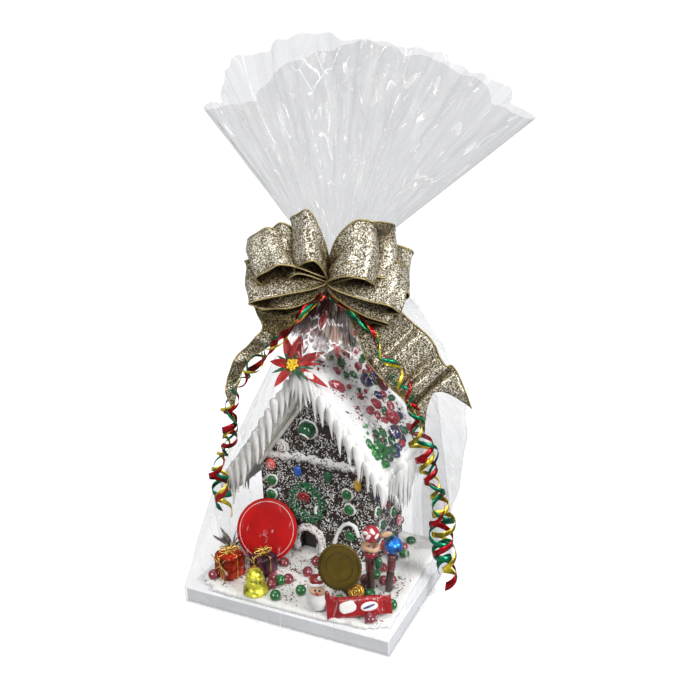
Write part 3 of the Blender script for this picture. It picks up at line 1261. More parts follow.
def build_bow():
    build = Build()
    for n, spec in enumerate(LOOPS):
        rows = loop_rows(spec, 1.7 * n + 0.4)
        grid = sheet(rows, 0.5)
        ahead = rows[23][7] - bow_point(*spec[0])
        face = (rows[24][7] - rows[22][7]).cross(rows[23][8] - rows[23][6])
        if face.dot(ahead) < 0:
            grid = (grid[0], grid[1], [1 - tag for tag in grid[2]])
        build.add(grid)
        edge_wires(build, rows, 2)
    upper = [(44, -30), (72, -37), (87, -48), (111, -72), (124, -99), (136, -104), (153, -149)]
    lower = [(22, -44), (30, -62), (40, -92), (64, -122), (78, -136), (86, -152), (100, -174)]
    rows = tail_rows(upper, lower, -16.0, -22.0, 3.6, 4.6, 0.5, 76, 15)
    for i, row in enumerate(rows):
        share = max(0.0, (i - 58) / 18)
        middle = rows[58]
        for j in range(15):
            s = abs(2.0 * j / 14 - 1.0)
            row[j] = row[j].lerp(middle[j], share * (1.0 - s) ** 0.9)
    build.add(flip_tags(sheet(rows, 0.5)))
    edge_wires(build, rows, 2)
    upper = [(-28, -8), (-62, -11), (-80, -18), (-79, -34), (-74, -50), (-82, -61), (-93, -71), (-104, -80), (-112, -94),
             (-118, -108), (-119.5, -121), (-115, -138)]
    lower = [(-3, -10), (-16, -24), (-32, -42), (-47, -57), (-58, -66), (-68, -71), (-77, -76), (-89, -85), (-98, -94),
             (-104.5, -105), (-108, -120), (-113, -139)]
    rows = tail_rows(upper, lower, -5.0, -42.0, 3.6, 4.4, 1.5, 72, 11)
    turn = 26
    build.add(flip_tags(sheet(rows[:turn + 1], 0.5)))
    build.add(sheet(rows[turn:], 0.5))
    edge_wires(build, rows, 2)
    knot = []
    for k in range(9):
        t = k / 8
        knot.append(KNOT + BOW_RIGHT * (-7.0 + 14.0 * t) + BOW_UP * (1.5 * math.sin(3.0 * t)) + BOW_OUT * 4.0)
    verts, faces = tube(knot, [4.0, 6.0, 7.2, 7.8, 7.4, 7.6, 7.0, 5.8, 3.8], 18)
    pleated = []
    for k, v in enumerate(verts):
        axis = knot[k // 18] if k // 18 < len(knot) else knot[-1]
        pleated.append(axis + (v - axis) * (1.0 + 0.10 * math.sin(3.0 * (k % 18))))
    build.add((pleated, faces), None, 1)
    band = []
    for k in range(80):
        a = TAU * k / 80
        reach = 15.5 + 0.5 * math.sin(9 * a)
        band.append(Vector((NECK.x + reach * math.cos(a), NECK.y + reach * math.sin(a), TIE_Z + 2.0 * math.sin(2 * a))))
    build.add(loop_tube(band, 2.4, 8), None, 1)
    bridge = [KNOT + BOW_OUT * 1.0, Vector((NECK.x + 8.0, NECK.y - 14.0, TIE_Z)), Vector((NECK.x + 5.0, NECK.y - 13.0, TIE_Z - 1.0))]
    build.add(tube(smooth_path(bridge, 4), 3.4, 8), None, 1)
    build.piece("ribbon_bow", [GLITTER, GLITTER_BACK, WIRE], ("bow",))


def flip_tags(grid):
    return grid[0], grid[1], [1 - tag for tag in grid[2]]


# ---------------------------------------------------------------- curling ribbons

def foil(name, color, rough=0.22):
    mat, tree, shader = new_material(name)
    where = coords(tree)
    dark = tuple(c * 0.22 for c in color)
    tree.links.new(ramp(tree, noise_tex(tree, where, 75.0, 3.0), [(0.40, dark), (0.54, color)]), shader.inputs["Base Color"])
    shader.inputs["Metallic"].default_value = 0.65
    shader.inputs["Roughness"].default_value = rough
    bump(tree, shader, noise_tex(tree, where, 300.0, 5.0), 0.8, 0.0006)
    return mat


CURL_RED = foil("curl_red", (0.50, 0.004, 0.012))
CURL_GREEN = foil("curl_green", (0.006, 0.26, 0.12))
CURL_GOLD = foil("curl_gold", (1.0, 0.80, 0.05))
LEFT_ROUTE = ((22, -8, 354), (4, -28, 336), (-10, -34, 319), (-36, -36, 294), (-70, -36, 258), (-83, -36, 244), (-87, -36, 228),
              (-94, -36, 204), (-94, -36, 181), (-106, -36, 164), (-115, -36, 143), (-115, -36, 119), (-113, -36, 103), (-112, -36, 84))
RIGHT_ROUTE = ((26, -2, 352), (46, 12, 330), (64, 20, 306), (81, 20, 283), (94, 20, 262), (104, 20, 243), (110, 20, 222), (117, 20, 198),
               (123, 20, 177), (130, 20, 152), (138, 20, 124), (143, 20, 96), (143, 20, 66), (149, 20, 38), (153, 20, 20))


def curl_rows(route, radius_table, turns, phase, drift, cut, hand, breadth, steps=480):
    spine = smooth_path(route, 30)
    lengths = [0.0]
    for a, b in zip(spine, spine[1:]):
        lengths.append(lengths[-1] + (b - a).length)
    total = lengths[-1] * cut
    rows = []
    place = 0
    frame_a = Vector((0.5, -0.8, 0.2))
    for k in range(steps + 1):
        s = total * k / steps
        while place < len(lengths) - 2 and lengths[place + 1] < s:
            place += 1
        gap = max(1e-6, lengths[place + 1] - lengths[place])
        p = spine[place].lerp(spine[place + 1], min(1.0, (s - lengths[place]) / gap))
        ahead = (spine[place + 1] - spine[place]).normalized()
        frame_a = (frame_a - ahead * frame_a.dot(ahead)).normalized()
        frame_b = ahead.cross(frame_a)
        t = s / lengths[-1]
        radius = lookup(radius_table, t) * (1.0 + 0.28 * math.sin(23.0 * t + 3.0 * phase))
        bend = t + 0.03 * math.sin(11.0 * t + phase) + 0.012 * math.sin(29.0 * t + 2.0 * phase)
        theta = hand * TAU * turns * max(0.0, bend) ** 1.35 + phase
        flat_width = breadth + 2.2 * t + 3.4 * max(0.0, (t - 0.88) / 0.12)
        out = frame_a * math.cos(theta) + frame_b * math.sin(theta)
        sway = frame_a * (drift * math.sin(9.0 * t + phase)) + frame_b * (drift * math.cos(7.0 * t + 2.0 * phase))
        centre = p + out * radius + sway * min(1.0, 6.0 * t)
        open_up = min(1.0, max(0.0, (radius - 1.6) / 4.0))
        across = (frame_b * math.cos(theta) - frame_a * math.sin(theta)) * hand
        lean = (ahead * (0.25 + 0.65 * open_up) + across * (0.95 - 0.60 * open_up)).normalized()
        rows.append([centre - lean * (0.5 * flat_width), centre + out * 0.25, centre + lean * (0.5 * flat_width)])
    return rows


def build_curls():
    tight = ((0.0, 0.5), (0.2, 1.6), (0.40, 2.0), (0.50, 6.5), (0.8, 7.5), (1.0, 9.0))
    loose = ((0.0, 0.5), (0.15, 3.0), (0.4, 6.0), (0.6, 7.5), (0.8, 7.0), (1.0, 10.0))
    wide = ((0.0, 0.5), (0.12, 3.0), (0.3, 6.5), (0.55, 9.5), (0.8, 10.5), (1.0, 12.5))
    jobs = (
        ("curl_left_red", CURL_RED, LEFT_ROUTE, tight, 9, 0.0, 1.0, 0.93, 1, 8.6),
        ("curl_left_green", CURL_GREEN, LEFT_ROUTE, loose, 8.5, 2.1, 2.0, 0.97, -1, 5.0),
        ("curl_left_gold", CURL_GOLD, LEFT_ROUTE, loose, 8, 4.2, 2.5, 1.0, 1, 4.8),
        ("curl_right_red", CURL_RED, RIGHT_ROUTE, wide, 8.5, 0.5, 2.0, 1.0, 1, 7.4),
        ("curl_right_green", CURL_GREEN, RIGHT_ROUTE, wide, 9.5, 2.6, 2.4, 0.95, -1, 6.2),
        ("curl_right_gold", CURL_GOLD, RIGHT_ROUTE, wide, 9.0, 4.7, 3.2, 0.98, 1, 6.2),
    )
    for name, mat, route, radii, turns, phase, drift, cut, hand, breadth in jobs:
        build = Build()
        grid = sheet(curl_rows(route, radii, turns, phase, drift, cut, hand, breadth), 0.35)
        build.add((grid[0], grid[1]))
        build.piece(name + "_ribbon", [mat], (name,))


# ---------------------------------------------------------------- labels

def build_labels():
    red = simple("label_red", (0.36, 0.002, 0.003), (0.50, 0.005, 0.004), 45.0, 0.36, 120.0, 0.0002)
    red.node_tree.nodes["Principled BSDF"].inputs["Specular IOR Level"].default_value = 0.12
    pale = simple("label_ring", (0.70, 0.42, 0.38), (0.85, 0.62, 0.58), 200.0, 0.3, 500.0, 0.0001)
    label = Build()
    label.add(lathe([(0, 1.7), (12, 1.7), (24, 1.65), (35.6, 1.6), (37.0, 1.3), (37.5, 0.4), (37.5, -0.8), (36.8, -1.5), (24, -1.6), (0, -1.6)], 96))
    ring = [Vector((33.4 * math.cos(TAU * k / 96), 33.4 * math.sin(TAU * k / 96), 1.62)) for k in range(96)]
    label.add(loop_tube(ring, 0.45, 6), None, 1)
    build = Build()
    build.add((label.verts, label.faces, label.mats), at(-66.8, -15.6, 59.9, (0.231, -0.861, 0.454)))
    build.piece("round_disc", [red, pale], ("round_label",))

    gold = simple("seal_gold", (0.062, 0.040, 0.003), (0.10, 0.066, 0.006), 60.0, 0.42, 600.0, 0.0003, metallic=0.15)
    gold.node_tree.nodes["Principled BSDF"].inputs["Specular IOR Level"].default_value = 0.2
    dark = simple("seal_dark", (0.020, 0.012, 0.002), (0.035, 0.022, 0.004), 60.0, 0.4, 600.0, 0.0002, metallic=0.3)
    seal = Build()
    teeth = 44
    verts = [(0.0, 0.0, 0.9)]
    rings = ((8.0, 0.88), (16.0, 0.8), (21.0, 0.7), (24.0, 0.5), (24.0, 0.0), (0.0, 0.0))
    steps = teeth * 2
    for r, z in rings[:-1]:
        for k in range(steps):
            a = TAU * k / steps
            reach = r + (0.8 if k % 2 else -0.4) * (1.0 if r > 22 else 0.0)
            verts.append((reach * math.cos(a), reach * math.sin(a), z))
    verts.append((0.0, 0.0, 0.0))
    faces = [(0, 1 + k, 1 + (k + 1) % steps) for k in range(steps)]
    for r in range(4):
        a, b = 1 + r * steps, 1 + (r + 1) * steps
        faces += [(a + k, b + k, b + (k + 1) % steps, a + (k + 1) % steps) for k in range(steps)]
    last = 1 + 4 * steps
    faces += [(len(verts) - 1, last + (k + 1) % steps, last + k) for k in range(steps)]
    seal.add((verts, faces))
    for radius, thick in ((21.2, 0.3), (14.5, 0.35)):
        ring = [Vector((radius * math.cos(TAU * k / 72), radius * math.sin(TAU * k / 72), 0.78)) for k in range(72)]
        seal.add(loop_tube(ring, thick, 6), None, 1)
    build = Build()
    build.add((seal.verts, seal.faces, seal.mats), at(69.0, -90.6, 85.0, (0.141, -0.917, 0.373)))
    build.piece("gold_seal_disc", [gold, dark], ("gold_seal",))


# ---------------------------------------------------------------- sweets

def bulk(kind, cuts, seed, amount, grain, size, power=1.0):
    """A rounded box or a ball with a dented skin. kind: 'box' or 'ball'."""
    bm = bmesh.new()
    if kind == "box":
        bmesh.ops.create_cube(bm, size=2.0)
        bmesh.ops.subdivide_edges(bm, edges=bm.edges[:], cuts=cuts, use_grid_fill=True)
    else:
        bmesh.ops.create_icosphere(bm, subdivisions=cuts, radius=1.0)
    verts = []
    for v in bm.verts:
        p = v.co.copy()
        if kind == "box":
            p /= sum(abs(c) ** power for c in p) ** (1.0 / power)
        out = p.normalized()
        dent = noise.noise(p * grain + Vector((seed, 0.3 * seed, 0.0)))
        dent = dent + 0.5 * noise.noise(p * grain * 2.3 + Vector((seed, 0.0, 2.0)))
        p += out * (amount * dent)
        verts.append((p.x * size[0], p.y * size[1], p.z * size[2]))
    faces = [tuple(v.index for v in f.verts) for f in bm.faces]
    bm.free()
    return verts, faces


def ball(radius, cuts=3, seed=0.0, amount=0.0, grain=2.0, squash=1.0):
    return bulk("ball", cuts, seed, amount, grain, (radius, radius, radius * squash))


def icing_ring(build, place, aim, radius, thick, seed, mat):
    """A squeezed collar of icing round a sweet."""
    turn = at(*place, aim)
    ring = []
    for k in range(30):
        a = TAU * k / 30
        reach = radius + 0.35 * thick * math.sin(3 * a + seed) + 0.2 * thick * math.sin(7 * a + 2 * seed)
        ring.append(turn @ Vector((reach * math.cos(a), reach * math.sin(a), 0.25 * math.sin(5 * a + seed))))
    build.add(loop_tube(ring, thick, 8), None, mat)


DARK_GREEN = candy("dark_green_jelly", (0.006, 0.11, 0.035), 0.2)
JELLY_RED = simple("red_jelly", (0.20, 0.005, 0.012), (0.40, 0.025, 0.04), 190.0, 0.16, 400.0, 0.0003, coat=0.7, sss=0.15)
DUSTY_RED = candy("dusty_red_shell", (0.27, 0.028, 0.045), 0.5)
NAVY = candy("navy_shell", (0.012, 0.015, 0.12), 0.3)
PINK = candy("pink_mint", (0.72, 0.22, 0.26), 0.6)
MAROON = candy("maroon_shell", (0.17, 0.02, 0.025), 0.2)
WHITE_SHELL = simple("white_shell", (0.80, 0.78, 0.74), (0.90, 0.88, 0.85), 120.0, 0.35, 300.0, 0.0003, sss=0.1)
BLACK = simple("black_sugar", (0.008, 0.006, 0.006), (0.03, 0.02, 0.02), 500.0, 0.35, 900.0, 0.0002)
BISCUIT = simple("biscuit", (0.50, 0.30, 0.18), (0.66, 0.42, 0.27), 180.0, 0.5, 500.0, 0.0004)
RED_FOIL = foil("red_foil", (0.62, 0.036, 0.006))
PURPLE_FOIL = foil("purple_foil", (0.16, 0.045, 0.085), 0.28)
YELLOW_FOIL = foil("yellow_foil", (0.98, 0.93, 0.09), 0.3)
COIN_FOIL = foil("coin_foil_gold", (0.62, 0.30, 0.02), 0.26)
BLUE_FOIL = foil("blue_foil", (0.015, 0.22, 0.78))
GOLD_LINE = foil("gold_string", (0.95, 0.66, 0.16))
CHOCOLATE = simple("chocolate", (0.030, 0.012, 0.008), (0.07, 0.03, 0.018), 120.0, 0.35, 400.0, 0.0005)
WRAP_RED = simple("bar_wrap", (0.26, 0.002, 0.004), (0.42, 0.005, 0.008), 90.0, 0.2, 200.0, 0.0012, coat=0.5)
NEEDLE = simple("dark_needles", (0.04, 0.03, 0.026), (0.22, 0.185, 0.165), 500.0, 0.5, 900.0, 0.0003)
FRONT = (0.0, -1.0, 0.0)
ROOF_WAY = (SIN, 0.0, COS)


def front_sweets():
    """Sweets on the front wall, each with its collar of icing."""
    wall = FRONT_Y - 0.4
    drop = Build()
    drop.add(lathe([(0, 13.5), (3.5, 13.1), (6.6, 11.6), (8.6, 9.0), (9.7, 5.5), (10.2, 2.2), (10.3, 0.4), (0, 0.0)], 32, 0.02, 1.0),
             at(-17.5, wall, 187.3, FRONT))
    icing_ring(drop, (-16.5, wall - 0.8, 187.3), FRONT, 11.4, 1.3, 1.0, 1)
    crest = smooth_path([(-24, -9, 184), (-20, -13, 186), (-15, -13.5, 185), (-11, -11, 181)], 4)
    drop.add(rough_bead([Vector((x, wall + y, z)) for x, y, z in crest], 0.9, 3.0, 8, 0.4), None, 1)
    drop.piece("green_gumdrop", [DARK_GREEN, ICING], ("gumdrop_green",))

    swirl = Build()
    swirl.add(pill(6.8, 6.4, 28, 0.7), at(-53.0, wall - 3.0, 160.5, FRONT), 1)
    icing_ring(swirl, (-53.0, wall - 0.8, 160.5), FRONT, 7.4, 1.5, 2.0, 1)
    for arm in range(3):
        line = []
        for k in range(12):
            a = TAU * arm / 3 + 0.32 * k
            r = 0.6 + 0.5 * k
            line.append(Vector((-53.0 + r * math.cos(a), wall - 6.1 + 0.05 * r * r * 0.62, 160.5 + r * math.sin(a))))
        swirl.add(tube(line, [0.5 + 0.07 * k for k in range(12)], 8, flat=0.6), None, 0)
    swirl.piece("swirl_sweet", [MAROON, WHITE_SHELL], ("swirl_candy",))

    sugared = Build()
    sugared.add(bulk("ball", 4, 2.0, 0.07, 3.4, (6.2, 4.0, 7.2)), Matrix.Translation((-70.1, wall - 2.8, 135.2)))
    chance = random.Random(8)
    for _ in range(70):
        a, b = chance.uniform(0, TAU), chance.uniform(0.0, 1.3)
        n = Vector((math.sin(b) * math.cos(a), -math.cos(b), math.sin(b) * math.sin(a)))
        sugared.add(flake(chance, 0.5), at(-70.1 + 6.2 * n.x, wall - 2.8 + 4.1 * n.y, 135.2 + 7.2 * n.z, n), 1)
    sugared.piece("sugared_drop", [simple("coral_gum", (0.62, 0.05, 0.03), (0.80, 0.14, 0.09), 200.0, 0.45, 700.0, 0.0005), FLECK],
                  ("sugar_drop_red",))

    ovals = (("oval_blue", BLUE, -32.9, 132.3, 5.4, 7.2), ("oval_green", DARK_GREEN, 7.1, 131.6, 5.2, 7.6),
             ("oval_yellow", YELLOW, 45.6, 128.2, 4.6, 8.4))
    for k, (name, mat, x, z, wide, tall) in enumerate(ovals):
        build = Build()
        build.add(bulk("ball", 4, float(k), 0.03, 1.5, (wide, 3.6, tall)), Matrix.Translation((x, wall - 2.6, z)))
        build.piece(name + "_sweet", [mat], (name,))

    for k, (x, z) in enumerate(((-70.3, 113.8), (-72.4, 94.4), (30.9, 112.7), (32.7, 93.6))):
        build = Build()
        build.add(pill(6.1, 6.4, 26, 0.8, 9), at(x, wall - 2.8, z, FRONT))
        icing_ring(build, (x, wall - 0.9, z), FRONT, 6.6, 1.35, 0.8 * k, 1)
        build.piece("wall_button_%d_sweet" % (k + 1), [GREEN, ICING], ("wall_button_%d" % (k + 1),))


def build_wreath():
    build = Build()
    chance = random.Random(12)
    centre = Vector((-23.1, FRONT_Y - 2.0, 93.2))
    leaf = lathe([(0, 4.8), (0.9, 3.6), (1.7, 1.6), (1.9, -0.6), (1.3, -2.6), (0.6, -3.6), (0, -4.0)], 8)
    for row, (radius, out, count) in enumerate(((14.0, 0.6, 26), (18.2, 2.0, 34), (22.0, 0.8, 38))):
        for k in range(count):
            a = TAU * (k + 0.5 * row) / count + chance.uniform(-0.07, 0.07)
            spin = a + chance.uniform(0.5, 1.1) + (1.4 if row == 0 else 0.0)
            place = centre + Vector((math.cos(a) * radius * 1.02, -out - chance.uniform(0.0, 1.0), math.sin(a) * radius * 1.08))
            aim = Vector((math.cos(spin), -0.35, math.sin(spin)))
            build.add(leaf, at(*place, aim, chance.uniform(0, 3), chance.uniform(0.75, 1.1)))
    for _ in range(330):
        a, r = chance.uniform(0, TAU), chance.uniform(11.5, 24.5)
        y = centre.y - 1.6 - 2.4 * max(0.0, 1.0 - abs(r - 18.0) / 7.0) - chance.uniform(0.0, 0.5)
        build.add(flake(chance, chance.uniform(0.55, 1.0)), at(centre.x + r * math.cos(a), y, centre.z + r * 1.06 * math.sin(a), FRONT), 1)
    for k, (x, z, turn) in enumerate(((-5.5, 11.0, 0.6), (1.5, 11.5, 2.6), (-6.5, 6.0, -0.8), (2.5, 5.5, -2.0), (-2.0, 8.5, 0.0))):
        petal = bulk("ball", 3, float(k), 0.12, 2.0, (4.6, 1.6, 2.3) if k < 4 else (2.2, 2.2, 2.2))
        build.add(petal, Matrix.Translation(centre + Vector((x, -4.2, z))) @ Matrix.Rotation(-turn, 4, "Y"), 2)
    streak = smooth_path([(15.0, -3.6, -1.0), (13.0, -4.4, -6.0), (13.6, -4.2, -11.0)], 4)
    build.add(rough_bead([centre + Vector(p) for p in streak], 1.7, 2.0, 8, 0.3), None, 1)
    build.piece("wreath_piped", [simple("piped_green", (0.002, 0.036, 0.013), (0.012, 0.19, 0.060), 260.0, 0.45, 600.0, 0.0006), FLECK, RED],
                ("wreath",))


def petal_rows(length, width, cup, droop):
    rows = []
    for i in range(13):
        t = i / 12
        half = 0.5 * width * (abs(math.sin(math.pi * (t * 0.97 + 0.03) ** 0.8)) ** 0.75 + 0.02)
        row = []
        for j in range(7):
            s = 2.0 * j / 6 - 1.0
            row.append(Vector((half * s, length * t, cup * half * abs(s) + droop * t * t * length + 0.25 * math.sin(9 * t + 3 * s))))
        rows.append(row)
    return rows


def build_poinsettia():
    """Silk-like petals on the tip of the gable, round a bunch of yellow beads."""
    build = Build()
    centre = Vector((-20.5, -10.0, 271.5))
    out = Vector((0.34, -0.80, 0.50)).normalized()
    side = Vector((0.90, 0.40, 0.0))
    side = (side - out * side.dot(out)).normalized()
    over = out.cross(side)
    frame_turn = Matrix((side, over, out)).transposed().to_4x4()
    red = ((104, 34, 9, 0.06), (72, 33, 12, 0.10), (20, 37, 9, 0.02), (-33, 44, 7, -0.06), (-131, 29, 8, -0.04), (168, 24, 8, 0.0),
           (48, 25, 4, 0.16), (2, 28, 4, -0.02))
    for k, (deg, length, width, droop) in enumerate(red):
        grid = sheet(petal_rows(1.06 * length, 1.18 * width, 0.35, droop), 0.5)
        turn = Matrix.Translation(centre + out * (0.7 * (k % 3))) @ frame_turn @ Matrix.Rotation(math.radians(deg - 90), 4, "Z")
        build.add((grid[0], grid[1]), turn, 0)
        rib = [Vector((0.0, length * t / 6, 0.35 + droop * (t / 6) ** 2 * length)) for t in range(7)]
        build.add(tube(rib, [0.5 - 0.06 * t for t in range(7)], 5), turn, 1)
    for deg, length, width in ((86, 20, 4), (120, 17, 4), (55, 22, 4), (-12, 24, 4), (-46, 26, 4), (-62, 20, 4), (-160, 24, 4), (146, 20, 4),
                               (-100, 14, 4), (30, 20, 3)):
        grid = sheet(petal_rows(length, width, 0.3, 0.03), 0.5)
        turn = Matrix.Translation(centre + out * 1.6) @ frame_turn @ Matrix.Rotation(math.radians(deg - 90), 4, "Z")
        build.add((grid[0], grid[1]), turn, 1)
    chance = random.Random(4)
    for k in range(17):
        a, r = 2.4 * k, 1.6 * math.sqrt(k)
        place = centre + side * (r * math.cos(a)) + over * (r * math.sin(a)) + out * (4.2 + chance.uniform(0, 2.2) - 0.12 * r)
        build.add(ball(1.75, 2), at(*place), 2)
    petal = simple("petal_red", (0.34, 0.003, 0.006), (0.54, 0.008, 0.010), 140.0, 0.5, 700.0, 0.0004)
    leaf = simple("leaf_green", (0.010, 0.06, 0.018), (0.03, 0.15, 0.04), 200.0, 0.5, 700.0, 0.0004)
    bead = simple("yellow_bead", (0.80, 0.52, 0.01), (0.92, 0.68, 0.03), 300.0, 0.25, 800.0, 0.0002)
    build.piece("poinsettia_flower", [petal, leaf, bead], ("poinsettia",))


def on_roof(x, y, lift=0.0):
    z = roof_top(x)
    return Vector((x, y, z)) + Vector(ROOF_WAY) * lift


def string_round(build, place, radius, aim, mat, thick=0.45):
    turn = at(*place, aim)
    ring = [turn @ Vector((radius * math.cos(TAU * k / 40), radius * math.sin(TAU * k / 40), 0.4 * math.sin(6 * TAU * k / 40)))
            for k in range(40)]
    build.add(loop_tube(ring, thick, 6), None, mat)


def roof_sweets():
    big = (
        ("roof_ball_purple", NAVY, 24, 80, (9.6, 9.6, 9.2), 7.0, 0.03, "blue_candy"),
        ("roof_jelly_red", JELLY_RED, 15, 24, (6.4, 11.0, 5.0), 2.8, 0.16, "red_candy"),
        ("roof_oval_brown", MAROON, 33, 108, (10.5, 7.5, 6.2), 4.0, 0.05, "chocolate"),
        ("roof_cherry", JELLY_RED, 57, 80, (11.0, 8.6, 7.0), 4.2, 0.14, "red_candy"),
        ("roof_jelly_green", GREEN, 66, 18, (7.6, 6.4, 4.6), 2.4, 0.16, "green_candy"),
        ("roof_ball_navy", NAVY, 66, 62, (9.4, 8.6, 8.0), 6.0, 0.05, "blue_candy"),
    )
    for k, (name, mat, x, y, size, lift, dents, slot) in enumerate(big):
        build = Build()
        place = on_roof(x, y, lift)
        build.add(bulk("ball", 4, 1.3 * k, dents, 1.9, size), at(*place, ROOF_WAY, 0.7 * k))
        icing_ring(build, tuple(on_roof(x, y, 0.3)), ROOF_WAY, 0.86 * min(size[0], size[1]), 1.5, 1.1 * k, 1)
        if "ball" in name:
            string_round(build, tuple(place), size[0] * 1.0, (0.2, 0.9, 0.3), 2)
            string_round(build, tuple(place), size[0] * 1.0, (0.9, 0.1, -0.3), 2)
        build.piece(name + "_sweet", [mat, ICING, GOLD_LINE], (name,))

    small = Build()
    spots = ((3, 63, 1, 1.0), (15, 69, 1, 0.8), (-6, 112, 1, 1.1), (9, 114, 3, 0.9), (61, 47, 1, 0.9), (72, 30, 1, 1.1), (75, 42, 3, 1.0),
             (70, 8, 1, 0.8), (62, 28, 3, 0.8), (6, 45.5, 0, 0.8), (43, 53, 0, 1.1), (42, 72, 0, 1.2), (49, 60, 0, 0.9), (65, 38, 0, 0.7),
             (20, 94, 0, 0.9), (12, 90, 0, 1.0), (38, 88, 4, 1.0), (50, 96, 0, 1.1), (60, 100, 4, 1.0), (28, 100, 3, 0.9), (2, 100, 0, 0.9),
             (70, 88, 3, 1.1), (74, 74, 4, 1.0), (46, 110, 3, 0.9), (72, 104, 0, 1.0), (-2, 84, 0, 0.7), (55, 66, 0, 0.8), (30, 70, 0, 0.5),
             (26, 60, 1, 0.5), (36, 36, 0, 0.4), (-4, 52, 1, 0.6), (76, 57, 4, 0.9),
             (60, 10, 1, 0.9), (72, 18, 1, 1.0), (76, 28, 3, 1.0), (66, 38, 3, 0.9), (78, 14, 1, 0.9), (70, 52, 3, 1.0), (76, 66, 0, 1.0),
             (58, 34, 3, 0.8), (78, 46, 4, 1.0), (64, 22, 1, 0.8), (2, 88, 0, 0.8), (10, 104, 1, 0.8), (18, 108, 0, 0.9), (24, 114, 4, 0.8),
             (-2, 66, 0, 0.6), (12, 56, 1, 0.7), (20, 46, 0, 0.6), (30, 54, 0, 0.7), (50, 78, 3, 0.9), (40, 98, 0, 0.9))
    for k, (x, y, mat, scale) in enumerate(spots):
        shape = bulk("ball", 3, 0.9 * k, 0.30, 2.3, (6.8, 5.0, 3.8))
        small.add(shape, at(*on_roof(x, y, 1.0 * scale), ROOF_WAY, 1.9 * k, scale), mat)
    chance = random.Random(91)
    for _ in range(26):
        x, y = chance.gauss(66.0, 6.5), chance.gauss(17.0, 8.0)
        if x < 79.0 and y > 1.0:
            small.add(flake(chance, chance.uniform(2.2, 4.0)), at(*on_roof(x, y, 1.2), ROOF_WAY, chance.uniform(0.0, 6.0)), 5)
    small.piece("roof_small_sweets", [JELLY_RED, GREEN, ICING, DARK_GREEN, NAVY, BRIGHT_GREEN])

    glass = Build()
    for k, (x, y, s) in enumerate(((46, 33, 1.0), (52, 38, 0.8), (40, 40, 0.6))):
        glass.add(bulk("ball", 3, 5.0 + k, 0.2, 1.7, (6.4, 4.4, 2.6)), at(*on_roof(x, y, 1.0), ROOF_WAY, 1.0 + k, s))
    glass.piece("clear_sweet", [simple("clear_sugar", (0.55, 0.58, 0.56), (0.75, 0.76, 0.74), 200.0, 0.12, 300.0, 0.0005, coat=0.8)])

    chance = random.Random(77)
    bits = Build()
    made = 0
    while made < 820:
        x, y = chance.uniform(-14.0, 76.0), chance.uniform(8.0, 118.0)
        thick = noise.noise(Vector((x / 16.0, y / 16.0, 8.0)))
        if thick < chance.uniform(-0.35, 0.45) or (y < 26.0 and x > 24.0 and chance.random() < 0.85):
            continue
        size = chance.choice((0.45, 0.55, 0.7, 1.0, 1.6)) * chance.uniform(0.8, 1.2)
        mat = chance.choice((0, 0, 0, 1, 2, 2, 2, 3))
        bits.add(SPRINKLE, at(*on_roof(x, y, 0.4), (chance.uniform(-1, 1), chance.uniform(-1, 1), 0.4), 0.0, 1.2 * size), mat)
        made += 1
    for _ in range(130):
        x, y = chance.uniform(-120.0, -20.0), chance.uniform(8.0, 118.0)
        z = roof_top(x)
        bits.add(SPRINKLE, at(x, y, z + 0.3, (chance.uniform(-1, 1), chance.uniform(-1, 1), 0.3), 0.0, chance.uniform(0.4, 0.7)),
                 chance.choice((0, 1, 2)))
    bits.piece("roof_sprinkles", [RED, GREEN, BLACK, BROWN])


def dense(profile, parts):
    """The same outline with more points between."""
    fuller = []
    for a, b in zip(profile, profile[1:]):
        fuller += [(a[0] + (b[0] - a[0]) * k / parts, a[1] + (b[1] - a[1]) * k / parts) for k in range(parts)]
    return fuller + [profile[-1]]


def gift(name, node, mat, corner, size, turn):
    """A small foil-wrapped box tied with gold string."""
    build = Build()
    wide, tall = size
    middle = Vector((corner[0], corner[1], YARD_Z + 0.2 + 0.5 * tall))
    spin = Matrix.Translation(middle) @ Matrix.Rotation(turn, 4, "Z")
    build.add(bulk("box", 13, 3.0 + wide, 0.10, 3.8, (0.5 * wide, 0.5 * wide, 0.5 * tall), 7.0), spin, 0)
    for way in (0.0, 0.5 * math.pi):
        ring = []
        for k in range(48):
            a = TAU * k / 48
            c, s = math.cos(a), math.sin(a)
            reach = 1.0 / max(abs(c), abs(s)) ** 0.85
            p = Vector((0.5 * wide * 1.05 * c * reach, 0.3 * math.sin(3 * a), 0.5 * tall * 1.05 * s * reach))
            ring.append(spin @ (Matrix.Rotation(way, 4, "Z") @ p))
        build.add(loop_tube(ring, 0.6, 6), None, 1)
    top = middle + Vector((0.0, 0.0, 0.5 * tall + 0.8))
    knot = spin @ Vector((0.1 * wide, -0.53 * wide, 0.16 * tall))
    for across, down in ((-0.53, 0.42), (-0.53, -0.30), (-0.25, -0.52), (0.30, -0.52), (0.53, -0.10), (0.45, 0.53), (-0.1, 0.53)):
        end = spin @ Vector((across * wide, -0.54 * wide, down * tall))
        build.add(tube([knot, knot.lerp(end, 0.5) + Vector((0.0, -0.6, 0.4)), end], 0.55, 6), None, 1)
    chance = random.Random(int(wide * 10))
    for k in range(7):
        a = TAU * k / 7 + turn
        away = Vector((math.cos(a), math.sin(a), 0.0))
        tip = top + away * (0.42 * wide) + Vector((0.0, 0.0, 3.5 + chance.uniform(0, 2.5)))
        line = [top, top + away * 2.0 + Vector((0, 0, 4.5)), tip, top + away * (0.3 * wide) + Vector((0, 0, 1.2)), top]
        build.add(tube(smooth_path(line, 5), 0.55, 6), None, 1)
    build.piece(name, [mat, GOLD_LINE], (node,))


